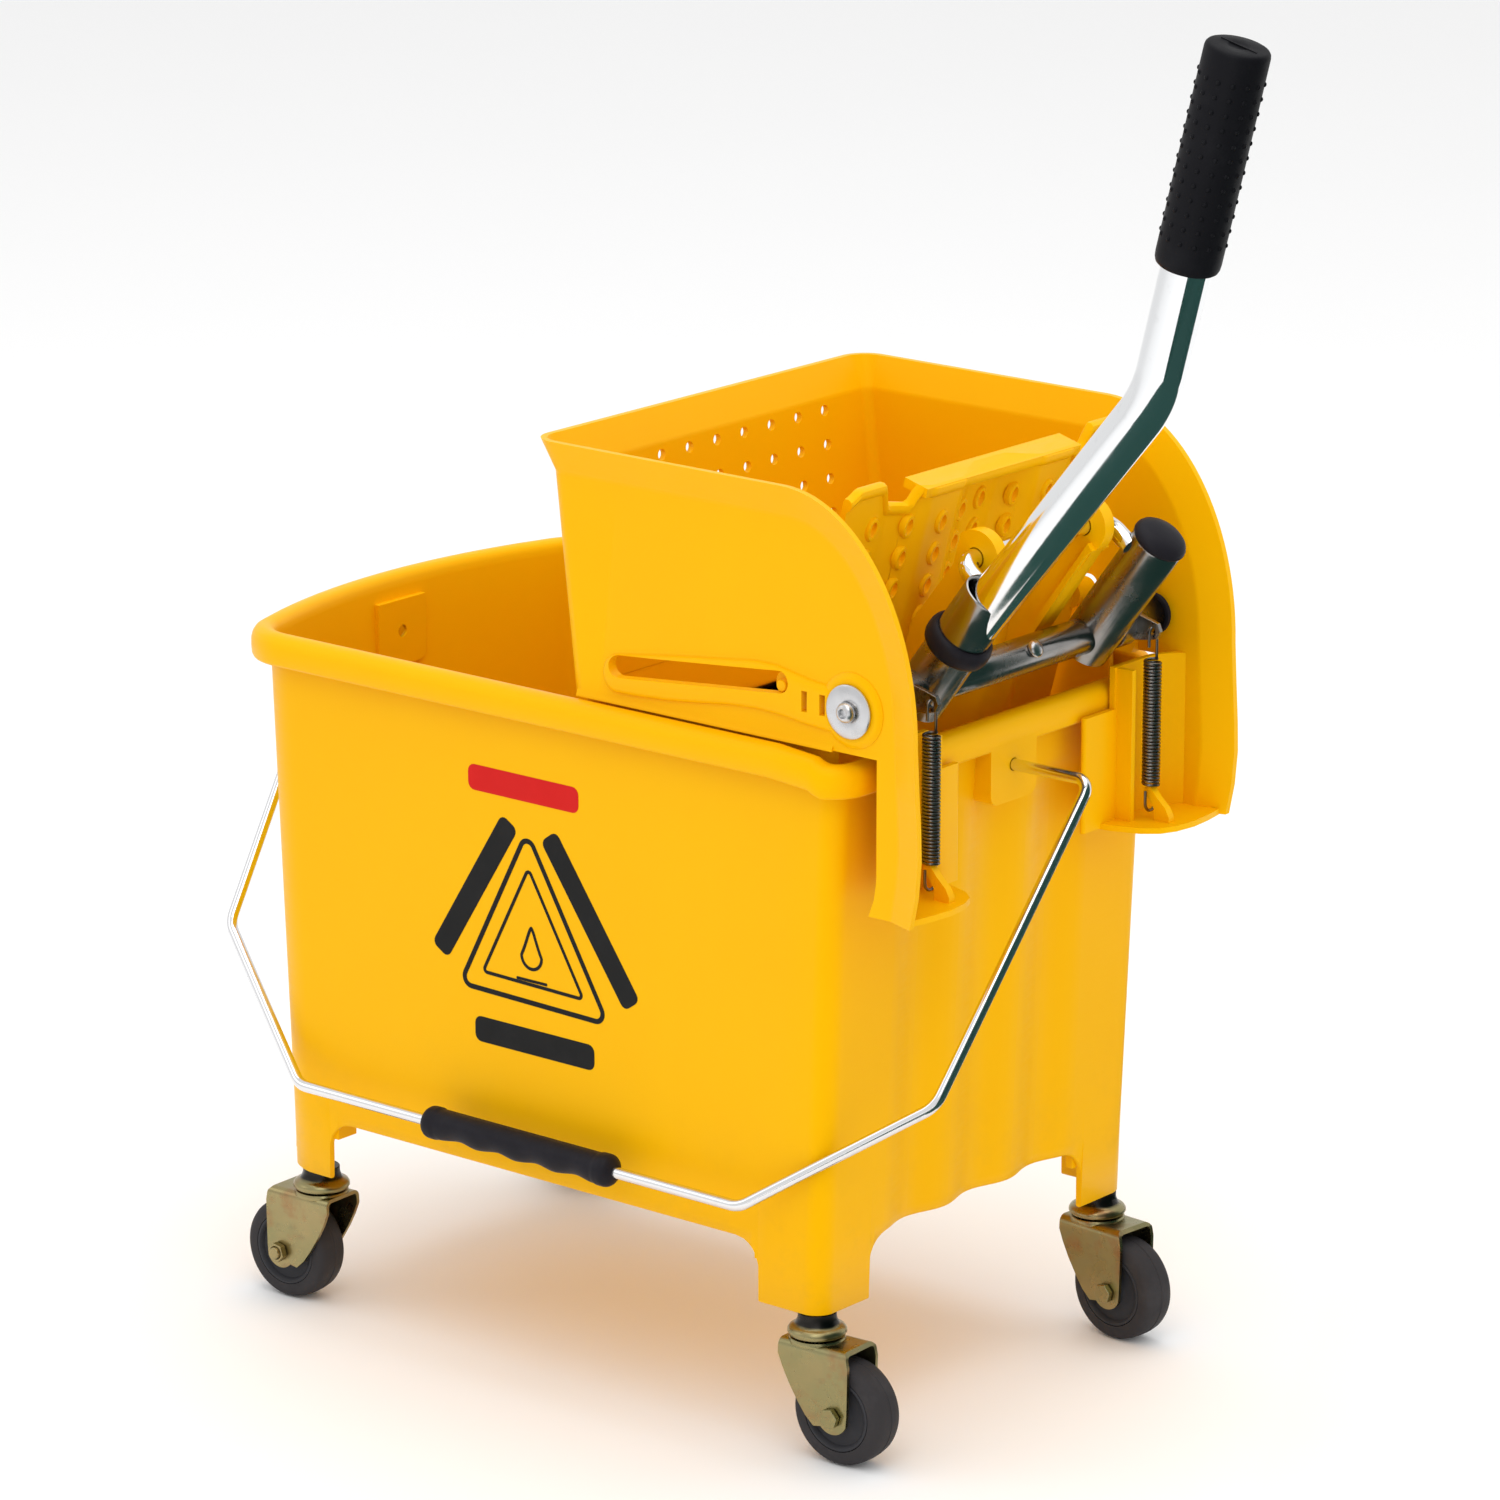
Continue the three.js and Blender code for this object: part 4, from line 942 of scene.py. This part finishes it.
# ---- lever --------------------------------------------------------------------------------------
BEND, LEVER_TOP = Vector((311, -SOCKET_Y, 511)), Vector((350.5, -SOCKET_Y, 665))


def build_lever():
    path = rounded_path([along(14, -SOCKET_Y), BEND, LEVER_TOP], [60], 14)
    tip = LEVER_TOP - (LEVER_TOP - BEND).normalized() * 0.6
    stand_in("lever_tube", tube([*path[:-1], tip], 11, 48), CHROME, "lever", "chrome")
    d, u, v = basis(LEVER_TOP - BEND)
    profile = [(11.3, -98), (12.8, -98), (13.8, -97.2), (14.4, -95.6), (14.6, -93), (14.5, 0.6), (14.2, 2),
               (13.5, 2.9), (12.4, 3.4), (5, 3.4), (4.4, 3.0), (0, 3.0)]
    grip = lathe([*reversed([(11.3, -98), (11.3, -6), (0, -6)]), *profile[1:]], LEVER_TOP, d, 72)
    nubs = []
    for row in range(12):
        for t in turns(14):
            out = u * math.cos(t) + v * math.sin(t)
            at = LEVER_TOP + d * (-84 + row * 6.7) + out * 14.2
            nubs.append(lathe([(0, -0.4), (1.25, -0.4), (1.15, 0.4), (0.8, 0.85), (0.35, 1.05), (0, 1.1)],
                              at, out, 10))
    seam = block((-9.5, 9.5), (-0.35, 0.35), (3.1, 3.75))
    m = Matrix.Translation(LEVER_TOP) @ Matrix((u, v, d)).transposed().to_4x4()
    seam = ([m @ Vector(p) for p in seam[0]], seam[1])
    stand_in("lever_grip", gather(grip, seam, *nubs), GRIP, "lever", "grip_rubber")


# ---- springs ------------------------------------------------------------------------------------
def spring_path(sign):
    x, y = SPRING_X, sign * SPRING_Y
    low, high, coils, radius = 286.0, 346.0, 36, 3.7

    def eye(z_from, z_to, side, r):
        """From the coil's end round a hook or a tab."""
        up = 1 if z_to > z_from else -1
        centre = z_to - up * r
        leg = [Vector((x, y + side * r, z)) for z in (centre - up * 4.5, centre - up * 1.0)]
        leg = [Vector((x, y + side * 3.0, z_from)), *leg]
        bow = [Vector((x, y + side * r * math.cos(a), centre + up * r * math.sin(a)))
               for a in (math.pi * k / 12 for k in range(0, 13))]
        tail = [Vector((x, y - side * r, z)) for z in (centre - up * 3, centre - up * 6)]
        return leg + bow + tail

    coil = []
    steps = coils * 16
    for i in range(steps + 1):
        t = i / steps
        a = 2 * math.pi * coils * t
        coil.append(Vector((x + radius * math.sin(a), y + radius * math.cos(a), low + (high - low) * t)))
    lower = list(reversed(eye(low, 273.7, 1, 4.1)))
    upper = eye(high, 361.9, 1, 3.1)
    return lower + coil + upper


def build_springs():
    for side, sign in SIDES:
        coil = piece(f"spring_{side}_look", *tube(spring_path(sign), 0.74, 8), SPRING, None, None, sharp=80)
        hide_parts(f"spring_{side}")
        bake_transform(coil)


# ---- bail ---------------------------------------------------------------------------------------
HANG = math.radians(54.7)


def bail_at(x, reach):
    return Vector((x, -reach * math.cos(HANG), BAIL_Z - reach * math.sin(HANG)))


def build_bail():
    corners = [bail_at(178, 0), bail_at(233, 0), bail_at(219, 164), bail_at(137, 232), bail_at(-137, 232),
               bail_at(-219, 164), bail_at(-233, 0), bail_at(-190, 0)]
    path = rounded_path(corners, [7, 14, 14, 14, 14, 7], 9)
    stand_in("bail", tube(path, 2.75, 20), WIRE, "bail", "chrome", 60)
    rings, steps, first, length = [], 96, -55.0, 118.0
    down = bail_at(0, 1) - bail_at(0, 0)
    for i in range(steps + 1):
        t = i / steps
        x = first + length * t
        end = min(t, 1 - t) * length
        r = 7.4 * math.sqrt(max(1 - (1 - min(end / 5, 1)) ** 2, 0.12)) + 0.5 * (end < 9) * (end > 1)
        dip = 0.0
        if 11 < end:
            dip = 1.5 * (0.5 + 0.5 * math.cos(2 * math.pi * (x - first - length / 2) / 24 + math.pi))
        ring = []
        for a in turns(28):
            side = Vector((0, math.cos(a), math.sin(a)))
            ring.append(bail_at(x, 232) + side * (r - dip * max(side.dot(down), 0) ** 1.5))
        rings.append(ring)
    stand_in("bail_grip", loft(rings), BLACK, "bail", "black_plastic", 70)


# ---- castors ------------------------------------------------------------------------------------
def castor_parts():
    """Every piece of one castor, drawn round a stem at x = y = 0 with the wheel trailing to +X."""
    trail, axle_z = 17.0, 25.0
    upright, crosswise = ((0, 0, 0), (0, 0, 1)), ((trail, 0, axle_z), (0, 1, 0))
    cheek = [(-13.4, 60), (-13.4, 55), (-13.6, 50), (-11.2, 44), (-7.6, 37), (-2.6, 29), (2, 22.7),
             (6.6, 18.6), *arc(trail, axle_z, 8.5, 222, 335, 12), (25.2, 27), (25.6, 50), (24.6, 55),
             (22, 58), (22, 60)]
    fold = [(12.1, 10), (12.1, 53.4), *arc(8.5, 53.4, 3.6, 0, 90, 6), *arc(-8.5, 53.4, 3.6, 90, 180, 6),
            (-12.1, 10), (-10.3, 10), (-10.3, 53.2), *arc(-8.3, 53.2, 2, 180, 90, 4),
            *arc(8.3, 53.2, 2, 90, 0, 4), (10.3, 10)]
    disc = [(0, 55.4), (13.2, 55.4), (13.4, 56.8), (12.9, 57.8), (11.6, 58.2), (0, 58.2)]
    crown = lathe(disc, *upright, 48)
    cuts = [tube([Vector((trail, -20, axle_z)), Vector((trail, 20, axle_z))], 3.2, 20),
            tube([Vector((0, 0, 40)), Vector((0, 0, 60))], 4.3, 24)]
    channel = solid(prism(fold, "YZ", -14, 27), common=[prism(cheek, "XZ", -14, 14)])
    fork = solid(channel, crown, cuts=cuts)
    race = ring_lathe([(4.3, 58.7), (11.8, 58.7), (13.2, 59.1), (13.8, 60.1), (13.7, 61.3), (13, 62.4),
                       (11.6, 63.2), (10.6, 63.6), (9.9, 64.6), (9.3, 66), (9, 67), (9, 69.4), (8.7, 69.7),
                       (4.3, 69.7)], *upright, 56)
    stem = lathe([(0, 51.4), (5.2, 51.4), (6.6, 52), (7, 53), (6.8, 53.9), (4, 53.9), (4, 98), (0, 98)],
                 *upright, 32)
    tread = [(17.8, -8.9), (20.6, -9), (22.4, -8.7), (23.7, -7.8), (24.4, -6.4), (24.85, -3.6), (25, -0.7),
             (24.7, -0.35)]
    tyre = ring_lathe([*tread, *((r, -y) for r, y in reversed(tread))], *crosswise, 96)
    hub = ring_lathe([(3.1, -9.4), (5.6, -9.4), (6.3, -8.9), (6.9, -6.9), (7.8, -6.3), (14, -6.3),
                      (14.9, -6.7), (15.6, -8.5), (16.4, -9), (17.4, -8.8), (17.5, 8.8), (16.4, 9),
                      (15.6, 8.5), (14.9, 6.7), (14, 6.3), (7.8, 6.3), (6.9, 6.9), (6.3, 8.9), (5.6, 9.4),
                      (3.1, 9.4)], *crosswise, 72)
    hexagon = [(trail + 5 * math.cos(t), axle_z + 5 * math.sin(t))
               for t in (math.radians(60 * k + 12) for k in range(6))]
    bolt = gather(prism(hexagon, "XZ", -15.4, -12.4),
                  lathe([(0, -13), (3, -13), (3, 17), (2.6, 17.6), (0, 17.6)], *crosswise, 24))
    thread = tube([Vector((trail, 8, axle_z)), Vector((trail, 20, axle_z))], 3.2, 20)
    nut = solid(prism(hexagon, "XZ", 12.4, 16), cuts=[thread])
    return [
        ("stem", stem, ZINC, "bucket", "zinc", 0),
        ("raceway", race, ZINC, "bucket", "zinc", 0),
        ("fork", fork, ZINC, "castor_", "zinc", 0.9),
        ("axle_bolt", bolt, ZINC, "castor_", "steel", 0.5),
        ("axle_nut", nut, ZINC, "castor_", "steel", 0.5),
        ("wheel_hub", hub, HUB, "wheel_", "hub_plastic", 0),
        ("wheel_tyre", tyre, TYRE, "wheel_", "tyre", 0),
    ]


def build_castors():
    for name, part, material, body, slot, round_off in castor_parts():
        for place, (x, y, yaw) in STEMS.items():
            spun = turned(part, math.radians(yaw), "Z", (0, 0, 0))
            moved = shifted(spun, Vector((x, y, 0)))
            owner = body + place if body.endswith("_") else body
            obj = stand_in(f"{name}_{place}", moved, material, owner, slot)
            if round_off:
                soften(obj, round_off, 3)


# ---- stage --------------------------------------------------------------------------------------
def flat_look(name, colour, rough):
    look = Look(name, colour, rough)
    look.tint(look.ramp(look.noise(3, 2), 0.4, 0.7, 0, 0.1), tuple(c * 0.97 for c in colour))
    return look.mat


def build_stage():
    size = 12.0
    corners = [(-size, -size, 0), (size, -size, 0), (size, size, 0), (-size, size, 0)]
    floor = add_mesh("floor", corners, [(0, 1, 2, 3)], flat_look("pale_floor", (0.97, 0.97, 0.97), 0.8))


def area_light(name, place, size, power, glossy=True):
    """A soft light turned towards the middle of the object."""
    light = bpy.data.lights.new(name, "AREA")
    light.shape, light.size, light.size_y, light.energy = "RECTANGLE", size[0], size[1], power
    obj = bpy.data.objects.new(name, light)
    obj.location = place
    obj.rotation_euler = (Vector((0, 0, 0.3)) - Vector(place)).to_track_quat("-Z", "Y").to_euler()
    obj.visible_glossy = glossy
    bpy.context.collection.objects.link(obj)


def build_world():
    world = bpy.data.worlds.new("studio")
    world.use_nodes = True
    world.node_tree.nodes["Background"].inputs["Color"].default_value = (1, 1, 1, 1)
    world.node_tree.nodes["Background"].inputs["Strength"].default_value = 0.86
    bpy.context.scene.world = world


def build_flag():
    """A dark curved screen beside the object, there only for polished metal to reflect."""
    centre, radius = Vector((0.3, -0.05, 0)), 0.85
    spots = [centre + Vector((math.cos(t), math.sin(t), 0)) * radius
             for t in (math.radians(-104 + 222 * k / 24) for k in range(25))]
    points = [centre + (p - centre) * share + Vector((0, 0, z))
              for share, z in ((0.01, 0.004), (0.9, 0.01), (1, 0.2), (1, 1.7)) for p in spots]
    n = len(spots)
    faces = [(row * n + k, row * n + k + 1, (row + 1) * n + k + 1, (row + 1) * n + k)
             for row, first, last in ((0, 0, 24), (1, 6, 18), (2, 6, 18)) for k in range(first, last)]
    flag = add_mesh("flag", points, faces, flat_look("dark_screen", (0.006, 0.05, 0.042), 0.9))
    flag.visible_camera = flag.visible_diffuse = flag.visible_shadow = False


def build_lights():
    area_light("key", (1.4, -2.0, 3.0), (2.0, 2.0), 22)
    area_light("side", (3.0, -0.4, 1.6), (1.0, 2.0), 4, glossy=False)
    area_light("left", (-2.4, -2.0, 2.0), (1.6, 1.6), 5)
    area_light("top", (0.0, 0.2, 3.0), (2.4, 2.4), 28)


def build_camera():
    data = bpy.data.cameras.new("camera")
    data.sensor_width = 36
    data.lens = 161.3424
    data.clip_start, data.clip_end = 0.1, 60
    camera = bpy.data.objects.new("camera", data)
    camera.location = (Vector((1980.4, -2354.9, 1147.3)) + SHIFT) * MM
    forward = Vector((-0.61367, 0.74190, -0.27018))
    camera.rotation_mode = "QUATERNION"
    camera.rotation_quaternion = forward.to_track_quat("-Z", "Y")
    bpy.context.collection.objects.link(camera)
    bpy.context.scene.camera = camera


build_camera()
build_world()
build_lights()
build_stage()
build_flag()
build_bucket()
build_mark((-4, 272), (-49, 186), (46.7, 184))
build_wringer()
build_pivots()
build_lever_frame()
build_presser()
build_lever()
build_springs()
build_bail()
build_castors()

bpy.context.scene.view_settings.view_transform = "Standard"
bpy.context.scene.view_settings.look = "None"
